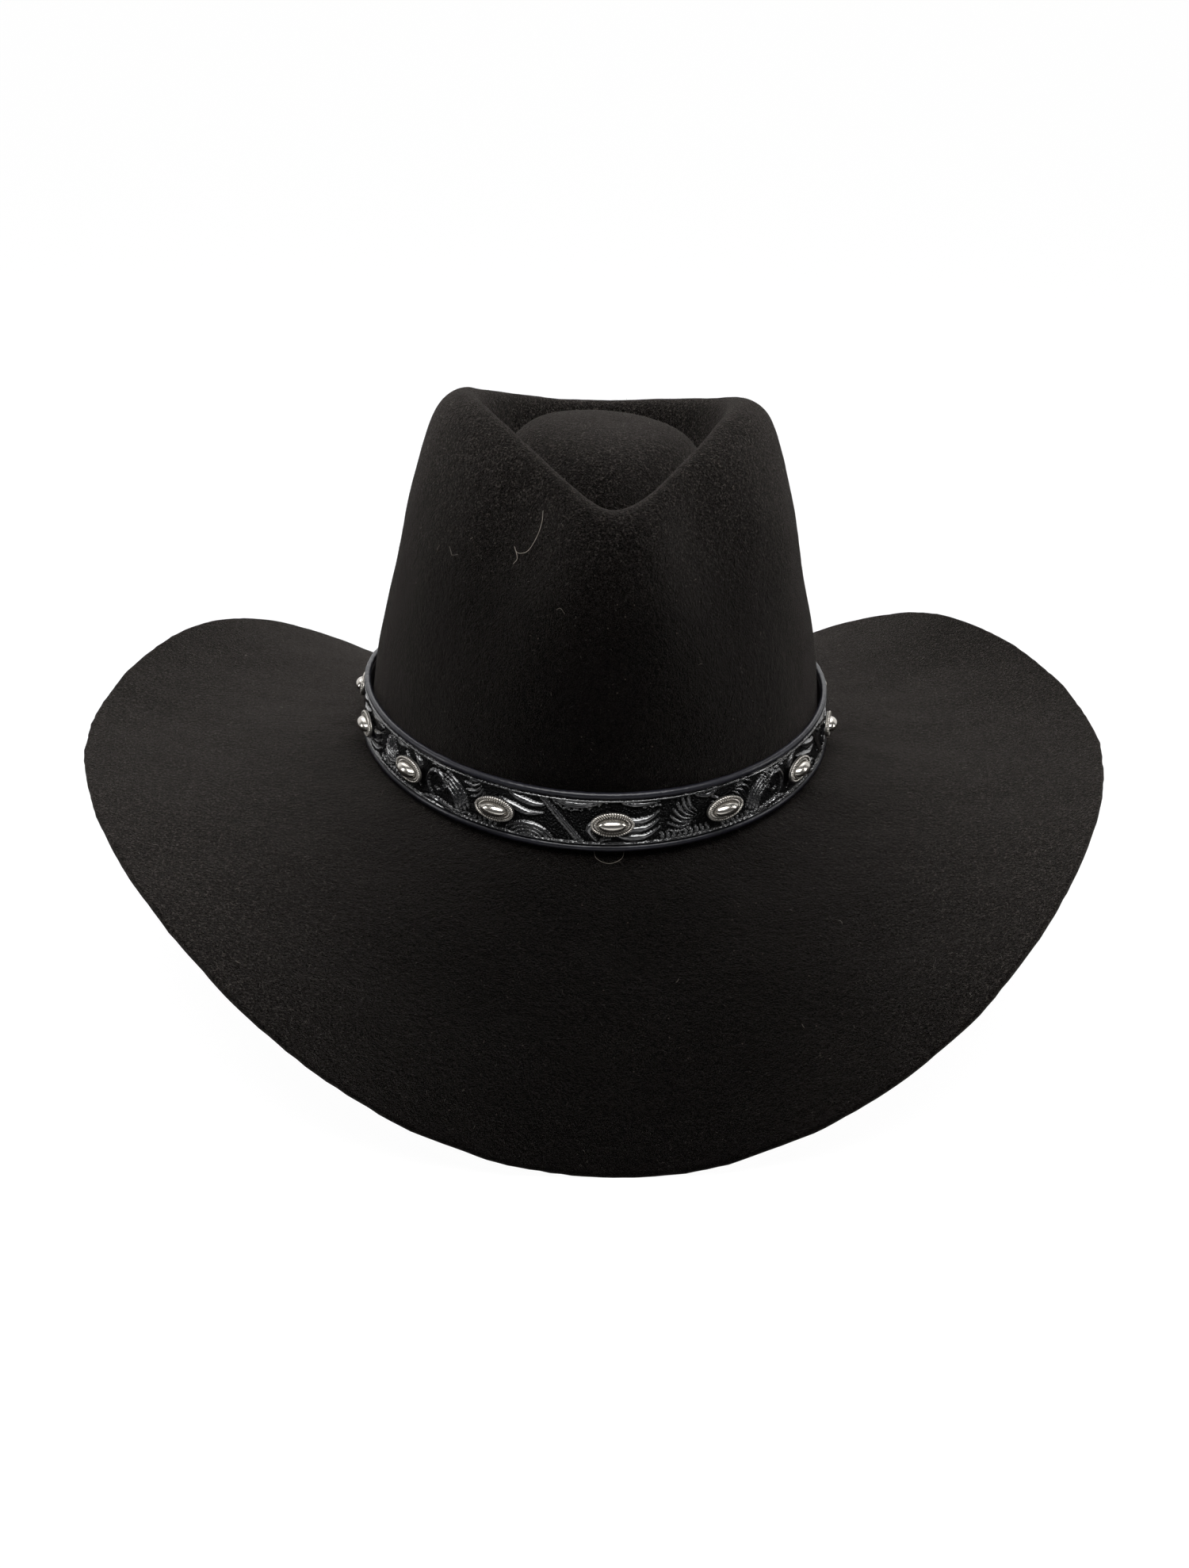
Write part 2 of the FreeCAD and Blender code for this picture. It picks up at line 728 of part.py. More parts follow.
def add_bow():
    """The small flat bow sewn inside the sweatband at the back."""
    height = 0.5 * (size("sweatband_bottom") + size("sweatband_top"))
    inset = size("sweatband_inset") + size("sweatband_thick")
    path = wall_ring(height, inset)
    low_path = wall_ring(height - size("bow_height") / 2.0, inset)
    point, tangent = loop_at(path, joint_place)
    upward = (point - loop_at(low_path, joint_place)[0]).normalize()
    inward = upward.cross(tangent).normalize()
    gap = size("bow_stand_off")
    frame = FreeCAD.Rotation(tangent * -1.0, upward, inward, "ZXY")
    bow = add_body("sweatband_bow", FreeCAD.Placement(point + inward * gap, frame))
    add_pad(bow, "bow_ribbon", "sizes.bow_width", "sizes.bow_height", "sizes.bow_thick")
    knot = add_pad(bow, "bow_knot", "sizes.knot_width", "sizes.bow_height / 2",
                   "sizes.bow_thick * 2")
    bow.Tip = knot


LINER_SIDE_ROWS = 6
MOAT_RING = 4


def make_liner():
    """The satin lining: a side, a piped seam and a tip that follows the dome and the moat."""
    thick = size("liner_thick")
    inset = size("liner_inset")
    low = size("liner_low_edge")
    lowered = offset_net(felt_outer, -(size("felt_thickness") + size("liner_tip_gap")))
    rim_levels = [lowered[MOAT_RING][column].z for column in range(COLUMNS)]
    gap = size("piping_radius") + size("soft_gap")

    def side_ring(share, depth):
        ring = []
        for column in range(COLUMNS):
            bottom = fold_point(ANGLES[column]).z + low
            top = rim_levels[column] - gap
            ring.append(wall_at(felt_outer, column, bottom + (top - bottom) * share,
                                size("felt_thickness") + depth))
        return ring

    shares = [row / (LINER_SIDE_ROWS - 1.0) for row in range(LINER_SIDE_ROWS)]
    add_shape("liner_side", ring_solid([side_ring(share, inset) for share in shares],
                                       [side_ring(share, inset + thick) for share in shares]))

    seam = []
    for column in range(COLUMNS):
        seam.append(wall_at(felt_outer, column, rim_levels[column],
                            size("felt_thickness") + inset + size("piping_radius")))
    add_shape("liner_piping", tube_solid(seam, size("piping_radius")))

    edge = []
    middle_edge = []
    for column in range(COLUMNS):
        inner = lowered[MOAT_RING][column]
        outward = V(seam[column].x - inner.x, seam[column].y - inner.y, 0)
        reach = outward.Length - gap
        outward.normalize()
        edge.append(inner + outward * reach)
        middle_edge.append(inner + outward * (reach / 2.0))
    tip_rows = lowered[:MOAT_RING + 1] + [middle_edge, edge]
    flat = tip_rows[0][0].z
    tip_rows[0] = [V(pole.x, pole.y, flat) for pole in tip_rows[0]]
    under_rows = [[pole - V(0, 0, thick) for pole in row] for row in tip_rows]
    add_shape("liner_tip", solid_of([net_face(tip_rows), net_face(under_rows),
                                     net_face([tip_rows[-1], under_rows[-1]], 1),
                                     disc_face(tip_rows[0]), disc_face(under_rows[0])]))


make_felt_body()
make_strap()
for number, place in enumerate(concho_places, start=1):
    add_concho(number, place)
add_rivets()
add_joint_cover()
make_sweatband()
add_bow()
make_liner()
doc.recompute()

os.makedirs("parts", exist_ok=True)
for node in NODES:
    shape = node.Shape
    problems = [state for state in node.State if state in ("Invalid", "Error")]
    if problems or shape.isNull() or not shape.isValid():
        raise RuntimeError("bad shape: %s %s" % (node.Label, node.State))
    shape.exportStep("parts/%s.step" % node.Label)
    print(node.Label, len(shape.Solids), "solids, volume %.1f" % shape.Volume)
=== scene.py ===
import math

import bpy
import numpy as np
from mathutils import Matrix, Vector


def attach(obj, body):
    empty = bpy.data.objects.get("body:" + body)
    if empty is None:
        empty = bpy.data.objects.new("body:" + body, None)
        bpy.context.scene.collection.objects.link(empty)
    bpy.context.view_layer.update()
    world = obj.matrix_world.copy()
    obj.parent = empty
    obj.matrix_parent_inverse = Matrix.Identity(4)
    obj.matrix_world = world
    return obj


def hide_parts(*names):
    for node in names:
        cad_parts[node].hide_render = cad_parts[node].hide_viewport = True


# A black western felt hat with a tooled leather hatband and oval silver conchos.
# Lengths are millimetres until make_mesh, which turns them into metres.

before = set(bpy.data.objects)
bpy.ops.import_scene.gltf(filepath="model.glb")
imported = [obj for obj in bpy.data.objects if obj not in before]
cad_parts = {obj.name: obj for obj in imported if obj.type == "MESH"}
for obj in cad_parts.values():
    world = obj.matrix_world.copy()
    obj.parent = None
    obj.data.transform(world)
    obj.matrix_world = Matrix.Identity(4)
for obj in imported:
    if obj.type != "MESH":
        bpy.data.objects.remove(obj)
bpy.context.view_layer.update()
MM = 0.001
rng = np.random.default_rng(7)
UP = np.array([0.0, 0.0, 1.0])

# ------------------------------------------------------------------ sizes
OVAL_X, OVAL_Y = 88.4, 104.0          # head oval at the fold, outside the felt
SHIFT = np.array([1.0, -3.5, 77.1])   # the oval's centre, at the level of the fold's sides
FOLD_DIP_FRONT, FOLD_DIP_BACK = 6.6, 16.8
FELT = 2.4
BRIM, BRIM_EXTRA, SLOPE_POWER = 110.6, 7.1, 1.3
# slopes of the brim at the side, back quarter, back and front quarter, front
FOLD_SLOPES = {"side": -12.4, "back_quarter": -19.0, "back": -24.2, "front_quarter": -14.0,
               "front": -32.2}
EDGE_SLOPES = {"side": 31.8, "back_quarter": 31.0, "back": -37.0, "front_quarter": 15.2,
               "front": -41.7}
FOLD_LEFT_EXTRA, EDGE_LEFT_EXTRA = 4.4, -14.9
QUARTERS = ("side", "back_quarter", "back", "back_quarter", "side", "front_quarter", "front",
            "front_quarter")
LEFT_SHARE = (0.0, 0.0, 0.0, 0.5, 1.0, 0.5, 0.0, 0.0)
RIDGE_HALF, RIDGE_FRONT, RIDGE_BACK = 58.4, 60.0, 64.0
RIDGE_LEVELS = (129.3, 103.3, 116.0)
NARROW, NARROW_POWER = 0.55, 1.8
DOME, DOME_BACK, DOME_FLAT, MOAT = 121.5, 12.0, 4.0, 26.0
PINCH, PINCH_ANGLE, PINCH_SPREAD = 7.5, math.radians(52.0), math.radians(14.0)
CROWN_LEAN, CROWN_DROP = 1.6, 2.4

STRAP_BOTTOM, STRAP_HEIGHT = 1.0, 22.0
STRAP_FOOT, STRAP_HEAD = 2.9, 1.5     # how far the strap's inner face stands out, low and high
LINING, TOOLED, LAYER_GAP, EDGE_RADIUS = 0.9, 1.7, 0.1, 1.25
JOINT_GAP = 0.8
TOOLED_BACK = LINING + LAYER_GAP
TOOLED_FACE = TOOLED_BACK + TOOLED
CONCHOS = 15

COLUMNS = 48


def full_turn(count):
    """Evenly spaced angles round a circle."""
    return np.arange(count) / count * 2 * math.pi


ANGLES = full_turn(COLUMNS)


def unit(vectors):
    """Vectors made one long; a vector of no length stays as it is."""
    return vectors / np.maximum(np.linalg.norm(vectors, axis=-1, keepdims=True), 1e-12)


# ------------------------------------------------------- the felt's surface
def around(values, angle):
    """Smooth periodic curve through eight values, one each 45 degrees from +X."""
    total = np.zeros_like(angle)
    for number, value in enumerate(values):
        away = angle - number * math.pi / 4.0
        away = np.arctan2(np.sin(away), np.cos(away))
        near = np.abs(away) < 1e-9
        safe = np.where(near, 1.0, away)
        weight = np.where(near, 1.0, np.sin(4.0 * safe) / (8.0 * np.tan(safe / 2.0)))
        total = total + value * weight
    return total


def oval_normals(angle):
    """Outward directions of the head oval, seen from above."""
    return unit(np.stack([np.cos(angle) / OVAL_X, np.sin(angle) / OVAL_Y, 0 * angle], -1))


def fold_ring(out=0.0, up=0.0):
    """Control ring by the fold of the brim, moved outward and upward."""
    sine = np.sin(ANGLES)
    dip = np.where(sine < 0, FOLD_DIP_FRONT, FOLD_DIP_BACK) * sine ** 2
    base = np.stack([OVAL_X * np.cos(ANGLES), OVAL_Y * sine, -dip], -1)
    return base + SHIFT + oval_normals(ANGLES) * out + UP * up


def brim_ring(share):
    """Control ring of the brim, at a share of its width."""
    at_fold = [FOLD_SLOPES[place] + part * FOLD_LEFT_EXTRA
               for place, part in zip(QUARTERS, LEFT_SHARE)]
    at_edge = [EDGE_SLOPES[place] + part * EDGE_LEFT_EXTRA
               for place, part in zip(QUARTERS, LEFT_SHARE)]
    start = np.radians(around(at_fold, ANGLES))[:, None]
    end = np.radians(around(at_edge, ANGLES))[:, None]
    width = BRIM + BRIM_EXTRA * np.sin(ANGLES) ** 2
    steps = (np.arange(16) + 0.5) / 16 * share
    slope = start + (end - start) * steps ** SLOPE_POWER
    out = np.cos(slope).mean(1) * width * share
    up = np.sin(slope).mean(1) * width * share
    return fold_ring() + oval_normals(ANGLES) * out[:, None] + UP * up[:, None]


def crown_ring(half_width, front, back, levels, narrowing=0.0, centre=0.0, pinch=0.0):
    """Control ring of the crown; levels are its heights at side, front and back."""
    cosine, sine = np.cos(ANGLES), np.sin(ANGLES)
    forward, rearward = np.maximum(0, -sine), np.maximum(0, sine)
    x = half_width * cosine * (1.0 - narrowing * ((1.0 - sine) / 2.0) ** NARROW_POWER)
    y = -front * forward + back * rearward + centre
    z = levels[0] + (levels[1] - levels[0]) * forward ** 2 + (levels[2] - levels[0]) * rearward ** 2
    for hand in (-1, 1):
        middle = math.atan2(-math.sin(PINCH_ANGLE), hand * math.cos(PINCH_ANGLE))
        away = np.arctan2(np.sin(ANGLES - middle), np.cos(ANGLES - middle))
        push = pinch * np.exp(-(away / PINCH_SPREAD) ** 2)
        x = x - 0.6 * push * hand
        y = y + 0.8 * push
    share_up = z / RIDGE_LEVELS[0]
    x = x + CROWN_LEAN * share_up
    z = z - CROWN_DROP * share_up ** 3 * (1.0 + cosine) / 2.0
    return np.stack([x, y, z], -1) + SHIFT


def felt_net():
    """Control rings of the felt's outer face, from the dome's middle to the brim's edge."""
    half, front, back, narrow = RIDGE_HALF, RIDGE_FRONT, RIDGE_BACK, NARROW

    def levels(side, front_part, back_part):
        return (RIDGE_LEVELS[0] + side, RIDGE_LEVELS[1] + front_part, RIDGE_LEVELS[2] + back_part)

    rings = [
        crown_ring(DOME_FLAT, DOME_FLAT, DOME_FLAT, (DOME, DOME, DOME), centre=DOME_BACK),
        crown_ring(12, 14, 14, (DOME, DOME, DOME), centre=DOME_BACK),
        crown_ring(25, 29, 28, (DOME - 0.5, DOME - 2, DOME - 1), 0.3 * narrow, 0.8 * DOME_BACK),
        crown_ring(37, 40, 42, (DOME - 6, DOME - 11, DOME - 5), 0.5 * narrow, 0.5 * DOME_BACK),
        crown_ring(half - 13, front - 16, back - 14, levels(-MOAT, -0.45 * MOAT, -0.9 * MOAT),
                   0.8 * narrow),
        crown_ring(half - 6.5, front - 9, back - 7.5,
                   levels(-0.8 * MOAT, -0.4 * MOAT, -0.75 * MOAT), narrow),
        crown_ring(half - 5, front - 5.5, back - 5.5, levels(-0.5, -1.5, -0.5), narrow),
        crown_ring(half + 3.5, front + 2.5, back + 3, levels(3.6, 2.6, 3.4), narrow),
        crown_ring(half + 14, front + 9.5, back + 9, levels(-2.2, -3, -2.2), 0.85 * narrow,
                   pinch=0.5 * PINCH),
        crown_ring(half + 17.5, front + 15, back + 14, levels(-18, -15, -14), 0.6 * narrow,
                   pinch=PINCH),
        crown_ring(half + 21, front + 21.5, back + 21, levels(-38, -31, -32), 0.35 * narrow,
                   pinch=0.9 * PINCH),
        crown_ring(OVAL_X - 7.5, OVAL_Y - 15.5, OVAL_Y - 12, (70, 57, 59), 0.15 * narrow,
                   pinch=0.35 * PINCH),
        crown_ring(OVAL_X - 2.8, OVAL_Y - 6.5, OVAL_Y - 5, (44, 34, 31)),
    ]
    rings += [fold_ring(0.3, 22.0), fold_ring(1.0, 9.0), fold_ring(1.2, 2.5)]
    rings += [brim_ring(share) for share in (0.035, 0.12, 0.3, 0.5, 0.7, 0.87, 0.96, 1.0)]
    return np.stack(rings)


def weights_along(rows, places):
    """Clamped uniform cubic weights of the control rings at places from 0 to rows - 3."""
    knots = np.array([0, 0, 0] + list(range(rows - 2)) + [rows - 3] * 3, float)
    places = np.clip(places, 0.0, rows - 3 - 1e-9)
    weights = np.array([(places >= knots[i]) & (places < knots[i + 1])
                        for i in range(len(knots) - 1)], float)
    for degree in (1, 2, 3):
        longer = []
        for i in range(len(weights) - 1):
            left, right = knots[i + degree] - knots[i], knots[i + degree + 1] - knots[i + 1]
            part = 0.0 * places
            if left > 0:
                part = part + (places - knots[i]) / left * weights[i]
            if right > 0:
                part = part + (knots[i + degree + 1] - places) / right * weights[i + 1]
            longer.append(part)
        weights = np.array(longer)
    return weights.T


def weights_round(places):
    """Uniform periodic cubic weights of the columns at places from 0 to COLUMNS."""
    places = np.asarray(places, float)
    column = np.floor(places).astype(int)
    f = places - column
    values = ((1 - f) ** 3 / 6, (3 * f ** 3 - 6 * f ** 2 + 4) / 6,
              (-3 * f ** 3 + 3 * f ** 2 + 3 * f + 1) / 6, f ** 3 / 6)
    weights = np.zeros((len(places), COLUMNS))
    for k, value in enumerate(values):
        weights[np.arange(len(places)), (column - 1 + k) % COLUMNS] += value
    return weights


def surface(net, along, places):
    """Points [along, round] of the surface of a net."""
    return np.einsum("ai,ijk,bj->abk", weights_along(len(net), along), net, weights_round(places))


def grid_normals(points):
    """Unit normals of a grid that is closed round, outward or upward."""
    by_row = np.gradient(points, axis=0)
    by_column = np.roll(points, -1, 1) - np.roll(points, 1, 1)
    return unit(np.cross(by_row, by_column))


def waves(points, size, amount, seed, count=24):
    """Smooth random unevenness: a sum of sine waves of about one wavelength."""
    local = np.random.default_rng(seed)
    total = np.zeros(points.shape[:-1])
    for _ in range(count):
        direction = local.normal(size=3)
        direction /= np.linalg.norm(direction)
        number = 2.0 * math.pi / (size * local.uniform(0.7, 1.5))
        total += np.sin(points @ direction * number + local.uniform(0, 2 * math.pi))
    return total * amount / math.sqrt(count / 2.0)


# ----------------------------------------------------------- mesh helpers
def make_mesh(name, points, faces, material, body, attributes=None):
    """A mesh object from points in millimetres, riding on a body."""
    mesh = bpy.data.meshes.new(name)
    points = np.asarray(points, float).reshape(-1, 3) * MM
    mesh.from_pydata(points, [], faces if isinstance(faces, list) else faces.tolist())
    for attribute, values in (attributes or {}).items():
        layer = mesh.attributes.new(attribute, "FLOAT", "POINT")
        layer.data.foreach_set("value", np.asarray(values, np.float32).ravel())
    mesh.update()
    mesh.polygons.foreach_set("use_smooth", [True] * len(mesh.polygons))
    piece = bpy.data.objects.new(name, mesh)
    bpy.context.scene.collection.objects.link(piece)
    mesh.materials.append(material)
    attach(piece, body)
    return piece


def grid_faces(rows, columns, closed_columns=True, closed_rows=False, start=0):
    """Quads of a grid of points numbered row by row."""
    last_column = columns if closed_columns else columns - 1
    last_row = rows if closed_rows else rows - 1
    row, column = np.meshgrid(np.arange(last_row), np.arange(last_column), indexing="ij")
    here = row * columns + column
    right = row * columns + (column + 1) % columns
    above = ((row + 1) % rows) * columns + column
    beyond = ((row + 1) % rows) * columns + (column + 1) % columns
    return np.stack([here, above, beyond, right], -1).reshape(-1, 4) + start


def capped_faces(rows, count):
    """Faces of rings closed at both ends on two last points."""
    faces = grid_faces(rows, count).tolist()
    last = (rows - 1) * count
    for column in range(count):
        after = (column + 1) % count
        faces.append([rows * count, column, after])
        faces.append([rows * count + 1, last + after, last + column])
    return faces


def set_inputs(node, **values):
    """Set a node's sockets; an underscore stands for a space, and a link is made for a socket."""
    for key, value in values.items():
        socket = node.inputs[key.replace("_", " ")]
        if isinstance(value, bpy.types.NodeSocket):
            node.id_data.links.new(value, socket)
        elif isinstance(value, tuple):
            socket.default_value = (*value, 1.0)
        else:
            socket.default_value = value


def new_material(name):
    """A material with its node tree and its shader."""
    material = bpy.data.materials.new(name)
    material.use_nodes = True
    tree = material.node_tree
    return material, tree, tree.nodes["Principled BSDF"]


def add_node(tree, kind, **settings):
    node = tree.nodes.new("ShaderNode" + kind)
    for key, value in settings.items():
        setattr(node, key, value)
    return node


def noise_node(tree, coordinates, scale, detail=4.0, roughness=0.6):
    node = add_node(tree, "TexNoise")
    set_inputs(node, Scale=scale, Detail=detail, Roughness=roughness, Vector=coordinates)
    return node.outputs["Fac"]


def ramp_node(tree, factor, *stops):
    """A colour ramp through (position, colour) stops."""
    node = add_node(tree, "ValToRGB")
    elements = node.color_ramp.elements
    while len(elements) < len(stops):
        elements.new(0.5)
    for element, (position, color) in zip(elements, stops):
        element.position = position
        element.color = (*color, 1.0)
    set_inputs(node, Fac=factor)
    return node.outputs["Color"]


def math_node(tree, operation, first, second):
    node = add_node(tree, "Math", operation=operation)
    for socket, value in zip(node.inputs, (first, second)):
        if isinstance(value, bpy.types.NodeSocket):
            tree.links.new(value, socket)
        else:
            socket.default_value = value
    return node.outputs[0]


def scaled_and_raised(tree, value, factor, base):
    """base + factor * value, for a socket value."""
    return math_node(tree, "ADD", base, math_node(tree, "MULTIPLY", value, factor))


def mix_colors(tree, factor, first, second):
    """Two colours mixed by a factor; each is a socket or a plain colour."""
    node = add_node(tree, "Mix", data_type="RGBA")
    colors = [socket for socket in node.inputs if socket.type == "RGBA"]
    share = [socket for socket in node.inputs if socket.name == "Factor" and socket.type == "VALUE"]
    tree.links.new(factor, share[0])
    for socket, value in zip(colors, (first, second)):
        if isinstance(value, tuple):
            socket.default_value = (*value, 1.0)
        else:
            tree.links.new(value, socket)
    return [socket for socket in node.outputs if socket.type == "RGBA"][0]


def bump_node(tree, height, distance, strength, normal=None):
    node = add_node(tree, "Bump")
    set_inputs(node, Strength=strength, Distance=distance, Height=height)
    if normal is not None:
        set_inputs(node, Normal=normal)
    return node.outputs["Normal"]


def object_coordinates(tree):
    return add_node(tree, "TexCoord").outputs["Object"]


def attribute_value(tree, name):
    return add_node(tree, "Attribute", attribute_name=name).outputs["Fac"]


# -------------------------------------------------------------- materials
def felt_material():
    """Black fur felt: matted fibres, a short pile, a few pale specks, and painted shade and sheen."""
    material, tree, shader = new_material("black_fur_felt")
    place = object_coordinates(tree)
    cloud = noise_node(tree, place, 14.0, 3.0)
    matting = noise_node(tree, place, 520.0, 5.0, 0.8)
    fibre = noise_node(tree, place, 1700.0, 3.0, 0.8)
    tone = math_node(tree, "ADD", math_node(tree, "MULTIPLY", matting, 0.75),
                     math_node(tree, "MULTIPLY", cloud, 0.25))
    color = ramp_node(tree, tone, (0.36, (0.0001, 0.0001, 0.0001)),
                      (0.50, (0.00046, 0.00038, 0.00033)), (0.64, (0.0026, 0.0021, 0.0018)))
    # specks: how close they stand, their reach, how many cells stay empty, and their colour
    for scale, reach, empty, pale in ((330.0, 0.09, 0.82, (0.050, 0.042, 0.036)),
                                      (700.0, 0.20, 0.76, (0.009, 0.0075, 0.0065))):
        specks = add_node(tree, "TexVoronoi")
        set_inputs(specks, Scale=scale, Vector=place)
        is_speck = math_node(tree, "LESS_THAN", specks.outputs["Distance"], reach)
        chance = add_node(tree, "SeparateColor")
        tree.links.new(specks.outputs["Color"], chance.inputs[0])
        rare = math_node(tree, "GREATER_THAN", chance.outputs[0], empty)
        color = mix_colors(tree, math_node(tree, "MULTIPLY", is_speck, rare), color, pale)
    # where the pile stands up, paler fibre ends show between the black ones; this paler colour is
    # also painted sheen, and the darker colour low on the front is partly painted shade
    ends = noise_node(tree, place, 1250.0, 2.0, 0.7)
    paler_with_painted_sheen = ramp_node(tree, ends, (0.38, (0.0008, 0.0007, 0.0006)),
                         (0.50, (0.0040, 0.0035, 0.0031)), (0.60, (0.019, 0.0165, 0.0148)),
                         (0.70, (0.062, 0.054, 0.048)))
    color = mix_colors(tree, attribute_value(tree, "nap_and_painted_light"), color, paler_with_painted_sheen)
    coarse = bump_node(tree, matting, 0.0012, 0.9)
    set_inputs(shader, Base_Color=color, Roughness=0.95, Specular_IOR_Level=0.01,
               Sheen_Weight=0.115, Sheen_Roughness=0.29, Sheen_Tint=(0.95, 0.86, 0.80),
               Normal=bump_node(tree, fibre, 0.0005, 0.9, coarse))
    return material


def hair_material(name, scale, dark, pale, **settings):
    """Single fibres: an uneven colour from a dark stop to a pale one."""
    material, tree, shader = new_material(name)
    shade = noise_node(tree, object_coordinates(tree), scale, 2.0)
    set_inputs(shader, Base_Color=ramp_node(tree, shade, dark, pale), **settings)
    return material


def leather_material(name, color_low, color_high, roughness, specular, grain=520.0,
                     relief=False, coat=0.0):
    """Dyed leather: fine creased grain, uneven dye, and a gloss that follows the relief."""
    material, tree, shader = new_material(name)
    place = object_coordinates(tree)
    cloud = noise_node(tree, place, 45.0, 4.0)
    cells = add_node(tree, "TexVoronoi", feature="DISTANCE_TO_EDGE")
    set_inputs(cells, Scale=grain, Vector=place)
    pores = noise_node(tree, place, grain * 3.0, 3.0)
    color = ramp_node(tree, cloud, (0.3, color_low), (0.7, color_high))
    if relief:
        ground = math_node(tree, "SUBTRACT", 1.0, attribute_value(tree, "raised"))
        color = mix_colors(tree, ground, color, tuple(0.35 * part for part in color_low))
        stipple = add_node(tree, "TexVoronoi")
        set_inputs(stipple, Scale=1500.0, Vector=place)
        pits = math_node(tree, "MULTIPLY", stipple.outputs["Distance"], ground)
        pit_normal = bump_node(tree, pits, 0.0006, 0.9)
        normal = bump_node(tree, cells.outputs["Distance"], 0.00012, 0.35, pit_normal)
    else:
        normal = bump_node(tree, cells.outputs["Distance"], 0.0002, 0.5)
    set_inputs(shader, Base_Color=color, Specular_IOR_Level=specular, Coat_Weight=coat,
               Coat_Roughness=0.10, Normal=bump_node(tree, pores, 0.00006, 0.5, normal),
               Roughness=scaled_and_raised(tree, cloud, 0.14, roughness - 0.07))
    return material


def silver_material():
    """Polished silver plate with dark patina left in the hollows and fine scratches."""
    material, tree, shader = new_material("polished_silver")
    place = object_coordinates(tree)
    smear = noise_node(tree, place, 260.0, 4.0)
    fine = noise_node(tree, place, 2600.0, 3.0)
    amount = math_node(tree, "MULTIPLY", attribute_value(tree, "patina"),
                       scaled_and_raised(tree, smear, 0.5, 0.75))
    rough = math_node(tree, "ADD", scaled_and_raised(tree, amount, 0.35, 0.20),
                      math_node(tree, "MULTIPLY", smear, 0.08))
    set_inputs(shader, Roughness=rough, Metallic=1.0, Normal=bump_node(tree, fine, 0.00003, 0.4),
               Base_Color=mix_colors(tree, amount, (0.56, 0.53, 0.485), (0.030, 0.027, 0.024)))
    return material


def plain_metal_material(name, color, roughness):
    """Bare metal with a slightly smeared polish."""
    material, tree, shader = new_material(name)
    smear = noise_node(tree, object_coordinates(tree), 400.0, 4.0)
    darker = tuple(0.8 * part for part in color)
    set_inputs(shader, Base_Color=ramp_node(tree, smear, (0.3, darker), (0.7, color)),
               Roughness=scaled_and_raised(tree, smear, 0.15, roughness), Metallic=1.0)
    return material


def cloth_material(name, color_low, color_high, scale, roughness, sheen):
    """Woven cloth: crossing threads in bump, with uneven dye."""
    material, tree, shader = new_material(name)
    place = object_coordinates(tree)
    threads = []
    for direction in ("X", "Y"):
        wave = add_node(tree, "TexWave", wave_type="BANDS", bands_direction=direction)
        set_inputs(wave, Scale=scale, Distortion=0.6, Vector=place)
        threads.append(wave.outputs["Fac"])
    weave = math_node(tree, "MULTIPLY", *threads)
    cloud = noise_node(tree, place, 60.0, 4.0)
    set_inputs(shader, Base_Color=ramp_node(tree, cloud, (0.3, color_low), (0.7, color_high)),
               Roughness=roughness, Sheen_Weight=sheen, Normal=bump_node(tree, weave, 0.0001, 0.5))
    return material


FELT_MATERIAL = felt_material()
FUZZ_MATERIAL = hair_material("felt_fibre", 900.0, (0.38, (0.02, 0.018, 0.016)),
                              (0.66, (0.24, 0.215, 0.19)), Roughness=0.6,
                              Specular_IOR_Level=0.3)
LINT_MATERIAL = hair_material("pale_lint", 700.0, (0.3, (0.20, 0.17, 0.14)),
                              (0.7, (0.38, 0.34, 0.29)), Roughness=0.55)
TOOLED_MATERIAL = leather_material("tooled_black_leather", (0.0030, 0.0030, 0.0036),
                                   (0.007, 0.007, 0.009), 0.15, 1.0, relief=True, coat=0.8)
GROUND_MATERIAL = leather_material("stippled_black_ground", (0.0012, 0.0012, 0.0015),
                                   (0.0030, 0.0030, 0.0036), 0.34, 0.12, relief=True)
EDGE_MATERIAL = leather_material("rolled_black_edge", (0.0035, 0.0035, 0.0060),
                                 (0.007, 0.007, 0.012), 0.36, 0.40)
LINING_MATERIAL = leather_material("lining_leather", (0.020, 0.017, 0.015),
                                   (0.034, 0.029, 0.026), 0.72, 0.3)
SWEAT_MATERIAL = leather_material("sweatband_leather", (0.026, 0.019, 0.015),
                                  (0.045, 0.033, 0.026), 0.50, 0.4, grain=800.0)
PATCH_MATERIAL = leather_material("patch_leather", (0.0035, 0.0035, 0.0045),
                                  (0.008, 0.008, 0.010), 0.30, 0.25)
SILVER_MATERIAL = silver_material()
RIVET_MATERIAL = plain_metal_material("plain_steel", (0.56, 0.55, 0.53), 0.28)
SATIN_MATERIAL = cloth_material("charcoal_satin", (0.045, 0.045, 0.050), (0.085, 0.085, 0.094),
                                900.0, 0.30, 0.15)
RIBBON_MATERIAL = cloth_material("ribbon", (0.018, 0.018, 0.020), (0.042, 0.042, 0.046),
                                 700.0, 0.5, 0.2)
REED_MATERIAL = cloth_material("reed_tape", (0.014, 0.013, 0.013), (0.030, 0.028, 0.027),
                               800.0, 0.8, 0.2)


# --------------------------------------------------------------- felt body
FELT_COLUMNS = 384
# width of the front area where the pile lies flat and shade is painted into the felt
PAINTED_SHADE_WIDTH = 118.0
net = felt_net()
round_places = np.arange(FELT_COLUMNS) / FELT_COLUMNS * COLUMNS
LAST = len(net) - 3.0


def felt_rows():
    """Places along the felt: close together over the ridge and by the fold."""
    parts = [np.arange(0.0, 2.0, 0.2), np.arange(2.0, 10.0, 0.085), np.arange(10.0, 13.0, 0.2),
             np.arange(13.0, 15.0, 0.1), np.arange(15.0, LAST, 0.115), [LAST]]
    return np.concatenate(parts)


def uneven(points):
    """Hand-shaped unevenness of the felt, in millimetres."""
    return waves(points, 60.0, 0.28, 1) + waves(points, 22.0, 0.10, 2) + waves(points, 7.0, 0.03, 3)


